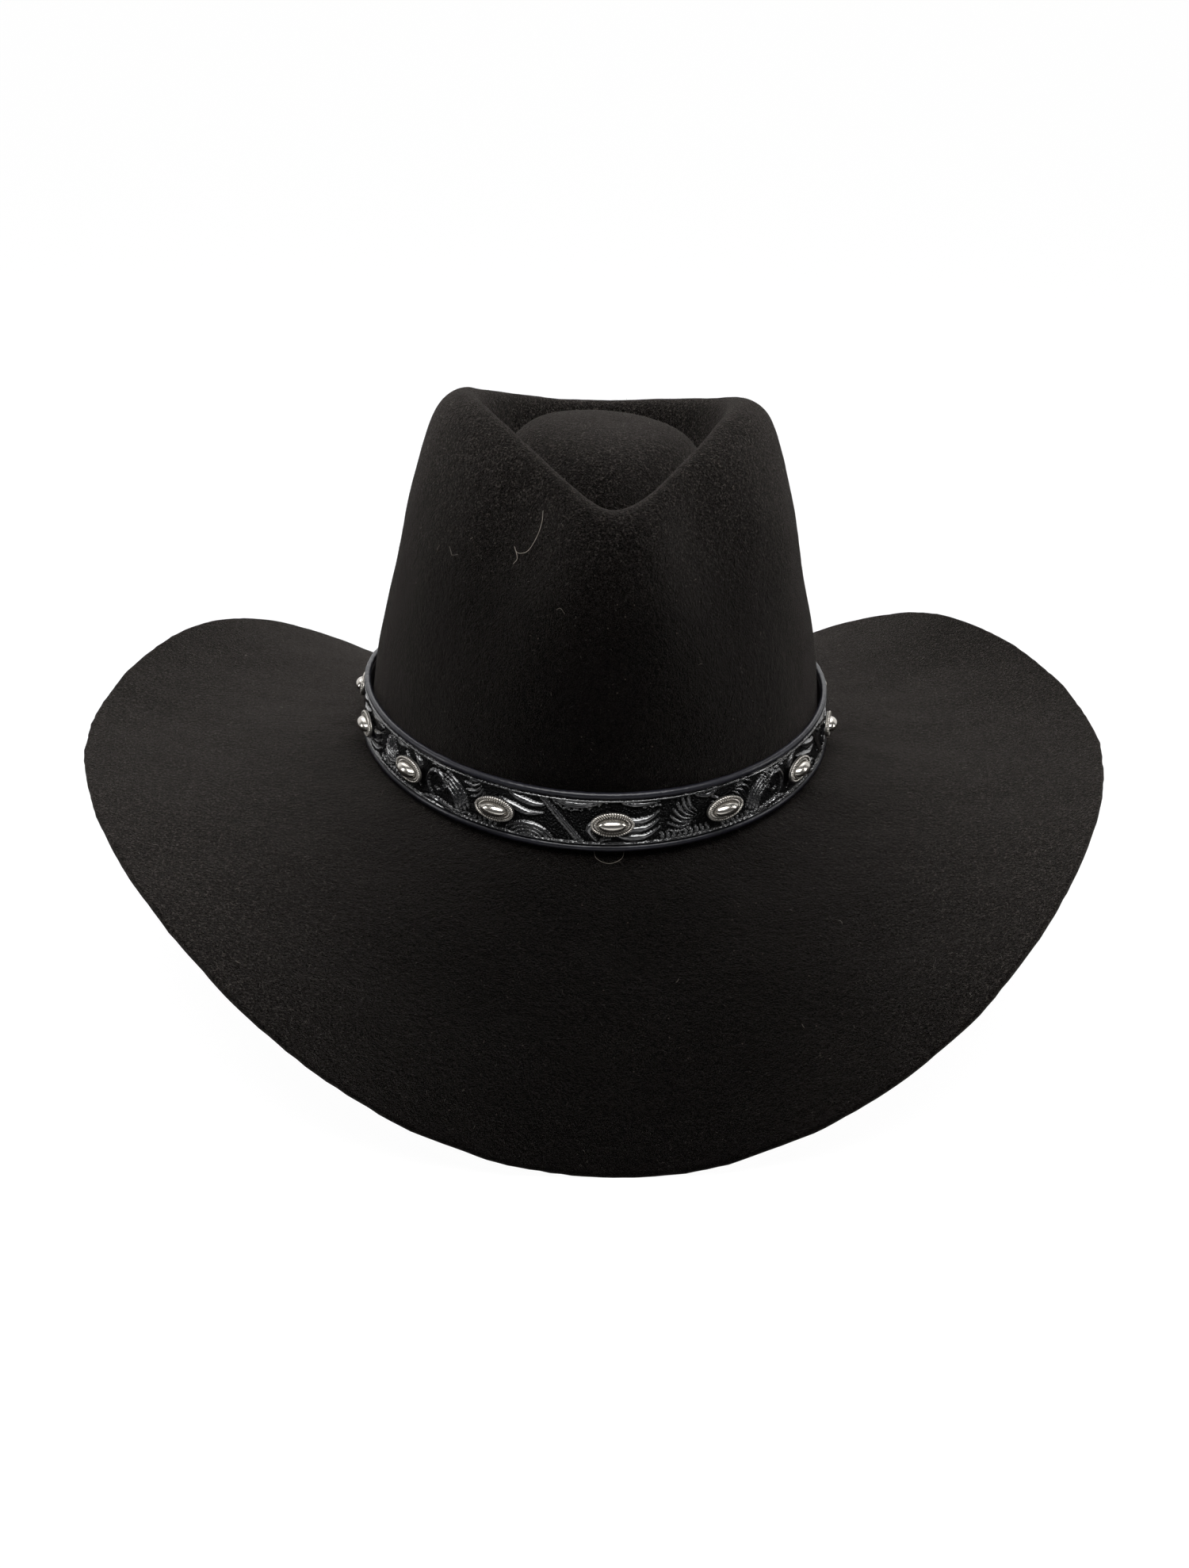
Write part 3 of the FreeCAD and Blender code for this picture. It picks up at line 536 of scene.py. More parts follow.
def nap_and_painted_light_share(points):
    """Paler colour share: 0 low on the front, flat pile and painted shade; 1 elsewhere, with painted
    sheen.
    """
    x, y, z = points[..., 0], points[..., 1], points[..., 2]
    flat = np.exp(-(x / PAINTED_SHADE_WIDTH) ** 4) / (1 + np.exp((y - 10.0) / 12.0))
    return 1 - flat * np.clip((195.0 - z) / 50.0, 0, 1)


def make_felt():
    """Crown and brim in one piece: outer face, raw cut edge and inner face."""
    outer = surface(net, felt_rows(), round_places)
    normals = grid_normals(outer)
    depth = np.clip((felt_rows() - 0.5) / 1.5, 0, 1)[:, None, None]
    outer = outer + normals * (uneven(outer)[..., None] * depth)
    normals = grid_normals(outer)
    # the inner face needs fewer rows, apart from the last ones by the edge
    near_edge = len(outer) - 8
    keep = np.concatenate([np.arange(0, near_edge, 4), np.arange(near_edge, len(outer), 3)])
    keep[-1] = len(outer) - 1
    inner = (outer - normals * FELT)[keep]
    # the raw cut edge: nearly square, with softened corners, cut a little unevenly
    edge = outer[-1]
    side = unit(np.cross(np.roll(edge, -1, 0) - np.roll(edge, 1, 0), normals[-1]))
    if ((edge - edge.mean(0)) * side).sum() < 0:
        side = -side
    ragged = waves(edge, 30.0, 0.22, 4) + waves(edge, 6.0, 0.10, 5)
    edge_rows = []
    for turn in np.linspace(0.5 * math.pi, -0.5 * math.pi, 7):
        across = abs(math.cos(turn)) ** 0.5 * 0.9
        lift = (math.sin(turn) - 1.0) * FELT / 2.0
        edge_rows.append(edge + normals[-1] * lift + side * (across + ragged * across)[:, None])
    edge_rows = np.stack(edge_rows[1:-1])
    rows = np.concatenate([outer, edge_rows, inner[::-1]])
    faces = capped_faces(len(rows), FELT_COLUMNS)
    centres = [outer[0].mean(0) + UP * 0.02, inner[0].mean(0)]
    points = np.concatenate([rows.reshape(-1, 3), centres])
    # the felt's colour mask: flat pile and painted shade low on the front, painted sheen elsewhere
    piece = make_mesh("felt_hat_body", points, faces, FELT_MATERIAL, "hat",
                      attributes={"nap_and_painted_light": nap_and_painted_light_share(points)})
    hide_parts("felt_body")
    return outer, normals


felt_outer, felt_normals = make_felt()


# --------------------------------------------------- places round the strap
FOLD_BASE = fold_ring()
FOLD_NORMALS = oval_normals(ANGLES)


def strap_points(places, up, out):
    """Points on the strap: places round it, up from its lower edge, out from its inner face."""
    weights = weights_round(places)
    share = np.asarray(up) / STRAP_HEIGHT
    reach = STRAP_FOOT + (STRAP_HEAD - STRAP_FOOT) * share + out
    base = weights @ FOLD_BASE
    normal = weights @ FOLD_NORMALS
    reach = np.broadcast_to(reach, (len(base),))
    level = np.broadcast_to(STRAP_BOTTOM + np.asarray(up, float), (len(base),))
    return base + normal * reach[:, None] + UP * level[:, None]


fine_places = 0.75 * COLUMNS + np.linspace(0, COLUMNS, 4801)
fine_line = strap_points(fine_places, STRAP_HEIGHT / 2, TOOLED_FACE)
travelled = np.concatenate([[0.0], np.cumsum(np.linalg.norm(np.diff(fine_line, axis=0), axis=1))])
STRAP_LENGTH = travelled[-1]


def place_at(length):
    """Place round the strap at a length along it, measured from the front."""
    return np.interp(np.mod(length, STRAP_LENGTH), travelled, fine_places)


def past_joint(shares):
    """Lengths along the strap, at shares of the way from one side of its joint to the other."""
    return STRAP_LENGTH / 2 + JOINT_GAP / 2 + shares * (STRAP_LENGTH - JOINT_GAP)


def strip_faces(rows, columns, reverse):
    """Faces of an open strip whose section is a closed loop: its quads, and its two ends."""
    faces = grid_faces(rows, columns, closed_columns=False, closed_rows=True)
    first = [row * columns for row in range(rows)]
    last = [row * columns + columns - 1 for row in range(rows)]
    if reverse:
        return faces[:, ::-1], [first, last[::-1]]
    return faces, [first[::-1], last]


def in_frame(local, centre, first, second, third):
    """Points given along three directions from a centre."""
    return centre + local[:, :1] * first + local[:, 1:2] * second + local[:, 2:] * third


def strap_frame(length, out, up=STRAP_HEIGHT / 2):
    """Centre, tangent, upward and outward directions on the strap."""
    place = np.array([place_at(length)])
    centre = strap_points(place, up, out)[0]
    ahead = strap_points(place + 0.02, up, out)[0]
    behind = strap_points(place - 0.02, up, out)[0]
    high = strap_points(place, up + 1.0, out)[0]
    tangent = unit(ahead - behind)
    outward = unit(np.cross(tangent, high - centre))
    return centre, tangent, np.cross(outward, tangent), outward


# ------------------------------------------------------------ tooled strap
STRAP_COLUMNS, STRAP_ROWS = 1700, 56
GROUND_BELOW = 0.22
TOOLED_LOW = 2 * EDGE_RADIUS + LAYER_GAP
TOOLED_HEIGHT = STRAP_HEIGHT - 2 * TOOLED_LOW
RAISED = 0.62
CARVED_DEPTH, RELIEF_GAIN, BEVEL, STROKE_GAIN = 0.9, 1.4, 1.0, 1.15
CUT_WIDTH, CUT_DEPTH = 0.38, 0.30      # the knife line round each stroke
BORDER_IN, BORDER_HALF = 0.45, 0.32    # the smooth border line beside each rolled edge
GROOVE_IN, GROOVE_WIDTH = 1.05, 0.22   # the groove inside that line


class Relief:
    """A height map over the strap, drawn with tapered, bevelled strokes like carved leather."""

    def __init__(self, length, height, columns, rows):
        self.length, self.height = length, height
        self.s = (np.arange(columns) + 0.5) / columns * length
        self.t = np.linspace(0, height, rows)
        self.map = np.zeros((rows, columns))
        self.raised = np.zeros((rows, columns))

    def window(self, points, margin):
        low, high = points.min(0) - margin, points.max(0) + margin
        first, last = np.searchsorted(self.s, (low[0], high[0]))
        bottom, top = np.searchsorted(self.t, (low[1], high[1]))
        return slice(bottom, top), slice(first, last)

    def near(self, points, rows, columns):
        """Distance to a polyline, and how far along it the nearest point is."""
        s, t = np.meshgrid(self.s[columns], self.t[rows])
        best = np.full(s.shape, 1e9)
        along = np.zeros(s.shape)
        for number in range(len(points) - 1):
            start, step = points[number], points[number + 1] - points[number]
            part = ((s - start[0]) * step[0] + (t - start[1]) * step[1]) / max(step @ step, 1e-9)
            part = np.clip(part, 0, 1)
            away = np.hypot(s - start[0] - part * step[0], t - start[1] - part * step[1])
            closer = away < best
            best[closer] = away[closer]
            along[closer] = (number + part[closer]) / (len(points) - 1)
        return best, along

    def stroke(self, points, widths, vein=0.0):
        """A raised stroke with sloping sides, cut round with a knife line; widths along it."""
        points = np.asarray(points, float)
        widths = [STROKE_GAIN * width for width in widths]
        rows, columns = self.window(points, max(widths) + 1.2)
        if rows.stop <= rows.start or columns.stop <= columns.start:
            return
        away, along = self.near(points, rows, columns)
        half = np.interp(along, np.linspace(0, 1, len(widths)), widths)
        inside = away < half
        slope = np.clip((half - away) * BEVEL / RELIEF_GAIN, 0, RAISED)
        shape = 0.08 + slope
        if vein > 0:
            shape = shape - vein * np.exp(-(away / 0.22) ** 2) * np.clip(half / 0.8, 0, 1)
        region = self.map[rows, columns]
        raised = self.raised[rows, columns]
        rim = np.exp(-((away - half - 0.12) / CUT_WIDTH) ** 2)
        self.map[rows, columns] = np.where(inside, shape, region - CUT_DEPTH * rim)
        self.raised[rows, columns] = np.where(inside, np.clip(0.35 + slope / 0.2, 0, 1),
                                              raised * (1 - 0.7 * rim))


def curve_through(corners, spans):
    """Points of a smooth curve through corners, each a share past the corner with a number."""
    doubled = np.concatenate([[2 * corners[0] - corners[1]], corners,
                              [2 * corners[-1] - corners[-2]]])
    points = []
    for k, f in spans:
        a, b, c, d = doubled[k:k + 4]
        points.append(0.5 * (2 * b + (c - a) * f + (2 * a - 5 * b + 4 * c - d) * f ** 2
                             + (3 * b - a - 3 * c + d) * f ** 3))
    return np.array(points)


def smooth_path(corners, count=26):
    """Points evenly along a smooth curve through a few given corners."""
    corners = np.asarray(corners, float)
    steps = np.r_[0, np.cumsum(np.hypot(*np.diff(corners, axis=0).T))]
    fine = np.linspace(0, steps[-1], count)
    if len(corners) < 3:
        return np.stack([np.interp(fine, steps, corners[:, k]) for k in (0, 1)], -1)
    spans = []
    for value in fine:
        k = min(np.searchsorted(steps, value, side="right") - 1, len(corners) - 2)
        spans.append((k, (value - steps[k]) / (steps[k + 1] - steps[k])))
    return curve_through(corners, spans)


def arc_path(centre, radius, start, end, squash=1.0, grow=0.0, count=26):
    """A circular or spiral arc, angles in degrees."""
    turn = np.radians(np.linspace(start, end, count))
    reach = radius * (1 + grow * np.linspace(0, 1, count))
    return np.stack([centre[0] + reach * np.cos(turn), centre[1] + squash * reach * np.sin(turn)], -1)


LEAF = (0.12, 0.75, 1.0, 0.9, 0.55, 0.1)


class Panel:
    """The carving between two conchos, placed by shares of its width and mirrored if flipped."""

    def __init__(self, relief, start, width, flip):
        self.relief, self.start, self.width, self.flip = relief, start, width, flip

    def at(self, share, level, aside=0.0):
        across = share * self.width + aside
        return (self.start + (self.width - across if self.flip else across), level)

    def curve(self, corners, count=26):
        return smooth_path([self.at(*corner) for corner in corners], count)

    def turned(self, start, end):
        return (180 - start, 180 - end) if self.flip else (start, end)

    def leaf(self, size, vein, *corners):
        """A leaf that tapers to both ends, with a vein along it."""
        self.relief.stroke(self.curve(corners), [size * width for width in LEAF], vein)

    def arc(self, centre, radius, start, end, widths, vein=0.0, **shape):
        path = arc_path(self.at(*centre), radius, *self.turned(start, end), **shape)
        self.relief.stroke(path, widths, vein)

    def fan(self, centre, radius, start, end, count, inner, width):
        """Petals spread like a shell from one point."""
        centre = np.array(self.at(*centre))
        start, end = self.turned(start, end)
        for number in range(count):
            angle = math.radians(start + (end - start) * number / (count - 1))
            direction = np.array([math.cos(angle), math.sin(angle)])
            bend = np.array([-direction[1], direction[0]]) * 0.10 * radius
            petal = [centre + direction * radius * inner,
                     centre + direction * radius * 0.65 + bend, centre + direction * radius]
            self.relief.stroke(smooth_path(petal, 14),
                               [0.3 * width, width, 1.15 * width, 0.5 * width])

    def scallops(self, size, count, *corners):
        """A leaf's scalloped edge: a row of small arcs along a curve."""
        path = self.curve(corners, count + 1)
        for first, last in zip(path[:-1], path[1:]):
            middle = (first + last) / 2
            across = np.array([first[1] - last[1], last[0] - first[0]])
            across = across / max(np.linalg.norm(across), 1e-9) * size
            self.relief.stroke(smooth_path([first, middle + across, last], 10),
                               [0.25, 0.5, 0.25])

    def ribs(self, first, last, level, lean, length, count, width):
        """Short parallel ribs along a line, as the veiner stamp leaves."""
        start, end = np.array(self.at(first, level)), np.array(self.at(last, level))
        lean = -lean if self.flip else lean
        for number in range(count):
            foot = start + (end - start) * number / (count - 1)
            tip = foot + np.array([lean * length, length])
            middle = (foot + tip) / 2 + np.array([0.12 * length, 0.0])
            self.relief.stroke(smooth_path([foot, middle, tip], 8),
                               [0.8 * width, width, 0.35 * width])


def draw_stem_panel(panel):
    """Straight crossing stem, nested arcs in one corner and a scalloped leaf above."""
    for number in range(4):
        panel.arc((0.30, -1.5), 4.2 + 1.75 * number, 165, 10, (0.2, 0.6, 0.7, 0.55, 0.2),
                  squash=0.72)
    panel.leaf(1.25, 0.25, (0.02, 12.6), (0.16, 10.6), (0.30, 9.2), (0.44, 10.0))
    panel.leaf(1.2, 0.25, (0.10, 16.0), (0.22, 14.0), (0.36, 12.8), (0.47, 13.4))
    panel.scallops(0.9, 7, (0.46, 16.4), (0.60, 12.4), (0.78, 12.6), (0.97, 15.6))
    panel.leaf(1.3, 0.3, (0.48, 17.0), (0.62, 15.0), (0.80, 14.8), (0.98, 16.8))
    for aside in (-0.95, 0.0, 0.95):
        stem = panel.curve([(0.40, 16.9, aside), (0.56, 9.5, aside), (0.76, 0.3, aside)])
        panel.relief.stroke(stem, (0.42, 0.48, 0.48, 0.42))
    panel.leaf(1.1, 0.25, (0.98, 9.6), (0.88, 8.4), (0.82, 5.0), (0.90, 0.6))
    panel.arc((1.02, -1.2), 6.0, 150, 30, (0.2, 0.6, 0.6, 0.2), squash=0.62)


def draw_leaf_panel(panel):
    """Three curved leaves, a fan of petals and short ribs along the bottom."""
    for low, high in ((8.6, 12.2), (5.6, 9.2), (2.6, 6.0)):
        panel.leaf(1.15, 0.3, (0.01, low + 1.4), (0.14, low), (0.30, low + 0.4), (0.42, high))
    panel.scallops(0.8, 5, (0.06, 15.9), (0.24, 13.4), (0.42, 13.6))
    panel.leaf(1.0, 0.2, (0.02, 16.8), (0.2, 14.9), (0.42, 15.4))
    panel.fan((0.80, 4.6), 13.4, 205, 115, 9, 0.34, 0.52)
    panel.ribs(0.44, 0.86, 0.4, -0.25, 3.3, 9, 0.62)
    panel.arc((0.88, 9.8), 3.4, 80, -70, (0.2, 0.65, 0.75, 0.6, 0.2), 0.15, grow=0.25)
    panel.arc((0.88, 9.8), 1.5, 80, -70, (0.3, 0.5, 0.3), grow=0.4)
    panel.leaf(0.95, 0.2, (0.97, 16.6), (0.90, 15.0), (0.80, 14.6), (0.70, 16.6))


def draw_scroll_panel(panel):
    """A scroll with leaves thrown off its back and petals in the corners."""
    panel.arc((0.36, 8.6), 2.2, -120, 250, (0.35, 0.5, 0.7, 0.9, 0.8, 0.4), 0.2,
              squash=0.95, grow=1.7, count=44)
    for number in range(4):
        panel.arc((0.40, 2.0), 8.2 + 1.8 * number, -20 + 6 * number, 80 + 4 * number,
                  [0.62 * width for width in LEAF], squash=0.95)
    panel.fan((0.93, 15.8), 11.0, 250, 160, 7, 0.36, 0.5)
    panel.leaf(1.2, 0.3, (0.02, 15.6), (0.12, 12.4), (0.08, 7.8), (0.15, 3.0))
    panel.leaf(1.0, 0.25, (0.14, 0.6), (0.34, 2.0), (0.56, 1.0), (0.74, 2.4))
    panel.scallops(0.8, 5, (0.15, 16.5), (0.32, 14.6), (0.52, 15.4))
    panel.ribs(0.72, 0.98, 0.3, 0.2, 2.6, 6, 0.5)


def draw_tooling():
    """The whole strap's carving, panel after panel between the conchos."""
    relief = Relief(STRAP_LENGTH, TOOLED_HEIGHT, STRAP_COLUMNS, STRAP_ROWS)
    pitch = STRAP_LENGTH / CONCHOS
    order = [draw_leaf_panel, draw_scroll_panel, draw_stem_panel]
    flips = [False, True, False, False, True]
    for number in range(CONCHOS):
        # the panel on the wearer's left of the front concho comes first, the last one ends there
        if number == CONCHOS - 1:
            draw, flip = draw_stem_panel, False
        else:
            draw, flip = order[number % len(order)], flips[number % len(flips)]
        draw(Panel(relief, number * pitch, pitch, flip))
    # smooth border line beside each rolled edge
    for level in (BORDER_IN, TOOLED_HEIGHT - BORDER_IN):
        border = np.abs(relief.t - level) < BORDER_HALF
        relief.map[border] = 0.5
        relief.raised[border] = 0.85
    for level in (GROOVE_IN, TOOLED_HEIGHT - GROOVE_IN):
        groove = np.exp(-((relief.t - level) / GROOVE_WIDTH) ** 2)[:, None]
        relief.map -= 0.3 * groove
        relief.raised *= 1 - 0.8 * groove
    # stippled ground
    pits = np.random.default_rng(11).random(relief.map.shape)
    relief.map -= np.where(relief.raised < 0.3, 0.16 * pits, 0.02 * pits)
    return relief


def make_tooled_strap():
    """The carved strip: its front from the height map, its back plain."""
    relief = draw_tooling()
    lengths = past_joint((relief.s - relief.s[0]) / (relief.s[-1] - relief.s[0]))
    columns = np.searchsorted(relief.s, np.mod(lengths, STRAP_LENGTH)) % STRAP_COLUMNS
    places = place_at(lengths)
    height = relief.map[:, columns]
    raised = relief.raised[:, columns]
    floor = TOOLED_FACE - CARVED_DEPTH
    front = np.stack([strap_points(places, TOOLED_LOW + level, floor + RELIEF_GAIN * height[row])
                      for row, level in enumerate(relief.t)])
    back = np.stack([strap_points(places, TOOLED_LOW + TOOLED_HEIGHT, TOOLED_BACK),
                     strap_points(places, TOOLED_LOW, TOOLED_BACK)])
    points = np.concatenate([front, back])
    values = np.concatenate([raised, np.zeros((2, STRAP_COLUMNS))])
    faces, ends = strip_faces(len(points), STRAP_COLUMNS, reverse=True)
    piece = make_mesh("tooled_strap", points, faces.tolist() + ends, TOOLED_MATERIAL, "hatband",
                      attributes={"raised": values})
    piece.data.materials.append(GROUND_MATERIAL)
    corners = values.ravel()[faces]
    is_ground = np.concatenate([corners.mean(-1) < GROUND_BELOW, [False, False]])
    piece.data.polygons.foreach_set("material_index", is_ground.astype(np.int32))
    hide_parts("strap_tooled")


make_tooled_strap()


# ------------------------------------------------------------ rolled edges
def make_edge(name, node, up):
    """A rolled leather edge: a round bead, a little uneven where the leather is turned over."""
    count, sides = 720, 16
    places = place_at(past_joint(np.linspace(0, 1, count)))
    line = strap_points(places, up, TOOLED_FACE / 2)
    swell = 1.0 + 0.03 * waves(line, 9.0, 1.0, 21) + 0.02 * waves(line, 3.0, 1.0, 22)
    radius = EDGE_RADIUS * swell
    points = np.stack([strap_points(places, up + radius * math.sin(turn) * 0.98,
                                    TOOLED_FACE / 2 + radius * math.cos(turn))
                       for turn in full_turn(sides)])
    faces, ends = strip_faces(sides, count, reverse=False)
    piece = make_mesh(name, points, faces.tolist() + ends, EDGE_MATERIAL, "hatband")
    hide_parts(node)


make_edge("rolled_edge_top", "strap_edge_top", STRAP_HEIGHT - EDGE_RADIUS)
make_edge("rolled_edge_bottom", "strap_edge_bottom", EDGE_RADIUS)


# ---------------------------------------------------------------- conchos
CONCHO_A, CONCHO_B = 7.8, 4.5
DOME_A, DOME_B, DOME_TOP = 5.3, 2.55, 4.5
ROPE_TURNS, FLUTES = 48, 40


def make_concho_mesh():
    """One concho in its own frame: X along the strap, Y up it, Z outward from its back."""
    count = 240
    turn = full_turn(count)
    cosine, sine = np.cos(turn), np.sin(turn)
    rows, patina = [], []

    def ring(a, b, z, dirt):
        rows.append(np.stack([a * cosine, b * sine, np.broadcast_to(z, turn.shape)], -1))
        patina.append(np.broadcast_to(dirt, turn.shape))

    # dome, from the top down, a touch fuller than an ellipsoid
    for share in np.linspace(0.02, 1.0, 22):
        angle = share * math.pi / 2
        out = math.sin(angle) ** 0.94
        level = 1.0 + (DOME_TOP - 1.0) * math.cos(angle) ** 0.92 if share < 1 else 1.0
        ring(DOME_A * out, DOME_B * out, level, 0.9 * max(0.0, share - 0.9) / 0.1)
    # fluted hollow between the dome and the rope rim
    rim_a, rim_b = CONCHO_A - 0.55, CONCHO_B - 0.55
    for share in np.linspace(0.08, 1.0, 8):
        a = DOME_A + (rim_a - 0.42 - DOME_A) * share
        b = DOME_B + (rim_b - 0.42 - DOME_B) * share
        flute = (0.5 + 0.5 * np.cos(FLUTES * turn)) ** 0.7
        swell = math.sin(math.pi * min(1.0, share * 1.1))
        level = 0.85 + 0.25 * share + 0.55 * flute * swell
        ring(a, b, level, 0.95 - 0.95 * flute * swell)
    # rope rim: a twisted cord round the edge
    for part in np.linspace(0.86, -0.30, 14):
        phase = part * math.pi
        rope = 0.5 + 0.5 * np.cos(ROPE_TURNS * turn + 2.6 * part)
        radius = 0.40 + 0.20 * rope ** 0.7
        a = rim_a + radius * math.cos(phase)
        b = rim_b + radius * math.cos(phase)
        ring(a, b, 1.05 + radius * math.sin(phase), 0.9 * (1 - rope) ** 1.6)
    ring(CONCHO_A - 0.1, CONCHO_B - 0.1, 0.35, 0.6)
    ring(CONCHO_A - 0.15, CONCHO_B - 0.15, 0.0, 0.6)
    points = np.concatenate(rows + [[[0, 0, DOME_TOP], [0, 0, 0]]])
    dirt = np.concatenate(patina + [[0, 0.5]])
    return points, capped_faces(len(rows), count), dirt


def make_conchos():
    """Fifteen conchos evenly round the strap, each set a little askew."""
    local, faces, dirt = make_concho_mesh()
    for number in range(CONCHOS):
        name = "concho_%02d" % (number + 1)
        centre, tangent, upward, outward = strap_frame(STRAP_LENGTH * number / CONCHOS,
                                                       TOOLED_FACE + LAYER_GAP)
        tilt = math.radians(rng.uniform(-2.0, 2.0))
        along = tangent * math.cos(tilt) + upward * math.sin(tilt)
        across = upward * math.cos(tilt) - tangent * math.sin(tilt)
        points = in_frame(local, centre, along, across, outward)
        piece = make_mesh("silver_" + name, points, faces, SILVER_MATERIAL, "hatband",
                          attributes={"patina": dirt})
        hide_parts(name)


make_conchos()


# ------------------------------------------------------------ felt's fibres
FIBRES = 36000
LINT_HAIRS = 190


def scatter(points, normals, count, source):
    """Random places on a grid closed round, by area but fewer where shade is painted low on the
    front: points, normals and tangents.
    """
    across = np.roll(points, -1, 1)[:-1] - points[:-1]
    down = points[1:] - points[:-1]
    area = np.linalg.norm(np.cross(across, down), axis=-1)
    # fewer fibres low on the front, where shade is painted into the felt's colour
    total = np.cumsum((area * (0.12 + 0.88 * nap_and_painted_light_share(points[:-1]))).ravel())
    chosen = np.searchsorted(total, source.random(count) * total[-1])
    row, column = np.divmod(chosen, points.shape[1])
    u, v = source.random((2, count, 1))
    place = points[row, column] + across[row, column] * u + down[row, column] * v
    normal = normals[row, column]
    tangent = source.normal(size=(count, 3))
    tangent -= normal * (tangent * normal).sum(-1, keepdims=True)
    return place, normal, unit(tangent)


def make_fuzz():
    """Short curved fibres that stand out of the felt, as narrow ribbons."""
    source = np.random.default_rng(31)
    place, normal, tangent = scatter(felt_outer, felt_normals, FIBRES, source)
    aside = np.cross(normal, tangent)
    length = np.clip(source.lognormal(-0.05, 0.35, (FIBRES, 1)), 0.4, 2.0)
    lift = np.radians(source.uniform(6.0, 55.0, (FIBRES, 1)))
    bend = source.normal(0.0, 0.5, (FIBRES, 1))
    width = source.uniform(0.014, 0.024, (FIBRES, 1))
    first = tangent * np.cos(lift) + normal * np.sin(lift)
    second = unit(tangent * np.cos(0.4 * lift) + normal * np.sin(0.4 * lift) + aside * bend)
    root = place - normal * 0.05
    middle = root + first * length * 0.5
    tip = middle + second * length * 0.5
    side = aside * width
    points = np.stack([root - side, root + side, middle - side, middle + side,
                       tip - side * 0.3, tip + side * 0.3], 1)
    base = np.arange(FIBRES)[:, None] * 6
    faces = np.concatenate([base + [0, 1, 3, 2], base + [2, 3, 5, 4]])
    make_mesh("felt_fibres", points, faces, FUZZ_MATERIAL, "hat")


def tube_along(line, radius, sides=5):
    """Points and faces of a thin round tube along a line of points."""
    ahead = unit(np.gradient(line, axis=0))
    side = unit(np.cross(ahead, UP + 0.01))
    over = np.cross(side, ahead)
    turn = full_turn(sides)
    taper = np.sin(np.linspace(0.12, 0.88, len(line)) * math.pi)[:, None, None] ** 0.4
    points = line[:, None] + radius * taper * (side[:, None] * np.cos(turn)[:, None]
                                               + over[:, None] * np.sin(turn)[:, None])
    return points.reshape(-1, 3), grid_faces(len(line), sides)


def felt_spot(along, place, lift):
    """A point a little above the felt's surface."""
    around_it = surface(net, [along - 0.01, along + 0.01], [place - 0.01, place + 0.01])
    normal = np.cross(around_it[1, 0] - around_it[0, 0], around_it[0, 1] - around_it[0, 0])
    return around_it.mean((0, 1)) + normal / np.linalg.norm(normal) * lift


# a few caught threads, each by (place along the felt, place round it, height above it)
CURLY_THREAD = ((7.43, 31.4, 0.3), (7.68, 31.6, 0.9), (8.03, 31.6, 0.8), (8.38, 31.4, 0.5),
                (8.52, 31.0, 0.4), (8.45, 30.8, 0.8), (8.60, 31.1, 0.9), (8.73, 31.0, 0.3))
BAND_THREAD = ((14.50, 35.5, 0.4), (14.98, 35.6, 0.5), (15.20, 35.95, 0.5), (14.98, 36.3, 0.5),
               (14.50, 36.4, 0.4))
EAR_THREAD = ((9.00, 28.3, 0.2), (9.06, 28.5, 0.7), (9.10, 28.6, 0.7), (9.04, 28.8, 0.2))
BIB_THREAD = ((9.08, 33.5, 0.2), (9.02, 33.7, 0.6), (9.10, 33.9, 0.2))


def curve_3d(corners, count):
    """Points of a smooth curve through corners in space."""
    corners = np.asarray(corners, float)
    spans = []
    for value in np.linspace(0, len(corners) - 1, count):
        k = min(int(value), len(corners) - 2)
        spans.append((k, value - k))
    return curve_through(corners, spans)


def make_lint():
    """Pale threads and hairs caught in the felt."""
    source = np.random.default_rng(37)
    tubes = []
    for thread, radius in ((CURLY_THREAD, 0.085), (BAND_THREAD, 0.045), (EAR_THREAD, 0.035),
                           (BIB_THREAD, 0.035)):
        corners = [felt_spot(*corner) for corner in thread]
        tubes.append(tube_along(curve_3d(corners, 8 * len(corners)), radius))
    place, normal, tangent = scatter(felt_outer, felt_normals, LINT_HAIRS, source)
    for number in range(LINT_HAIRS):
        aside = np.cross(normal[number], tangent[number])
        length = source.uniform(0.7, 2.6)
        curl = source.normal(0.0, 1.1)
        steps = np.linspace(0, 1, 7)
        turn = curl * steps + source.normal(0.0, 0.5) * steps ** 2
        run = (tangent[number] * np.cos(turn)[:, None] + aside * np.sin(turn)[:, None]) * length / 7
        rise = 0.25 * np.sin(steps * math.pi)[:, None] + 0.05
        line = place[number] + np.cumsum(run, 0) + normal[number] * rise
        tubes.append(tube_along(line, source.uniform(0.02, 0.035), 3))
    points, faces, start = [], [], 0
    for tube_points, tube_faces in tubes:
        points.append(tube_points)
        faces.append(tube_faces + start)
        start += len(tube_points)
    make_mesh("caught_threads", np.concatenate(points), np.concatenate(faces), LINT_MATERIAL, "hat")


make_fuzz()
make_lint()


# ------------------------------------------------------ inside of the crown
WALL_ALONG = np.linspace(6.0, 16.0, 501)
WALL_COLUMNS = 480
SWEAT_LOW, SWEAT_HIGH, SWEAT_INSET, SWEAT_THICK = 2.0, 57.0, 1.0, 1.0
BACK_PLACE, PLACE_WIDTH = 12.0, 13.0   # the place at the back, and the width of one place
CREASE_HEIGHT = 8.5
REED, SOFT_GAP = 1.1, 0.3
LINER_LOW, LINER_INSET, LINER_THICK, LINER_GAP, PIPING = 44.0, 0.55, 0.3, 1.2, 0.8
SIDE_PLEATS, TIP_PUCKERS = 58, 72
MOAT_RING = 4                          # the net's ring that the lining's tip reaches out to
TIP_SLOPE = 1.5                        # drop of the tip for each millimetre the felt comes inward
TIP_DROP = 1.3                         # clearance under the tight trough round the dome
wall_places = np.arange(WALL_COLUMNS) / WALL_COLUMNS * COLUMNS
wall_angles = wall_places / COLUMNS * 2 * math.pi
wall_outer = surface(net, WALL_ALONG, wall_places)
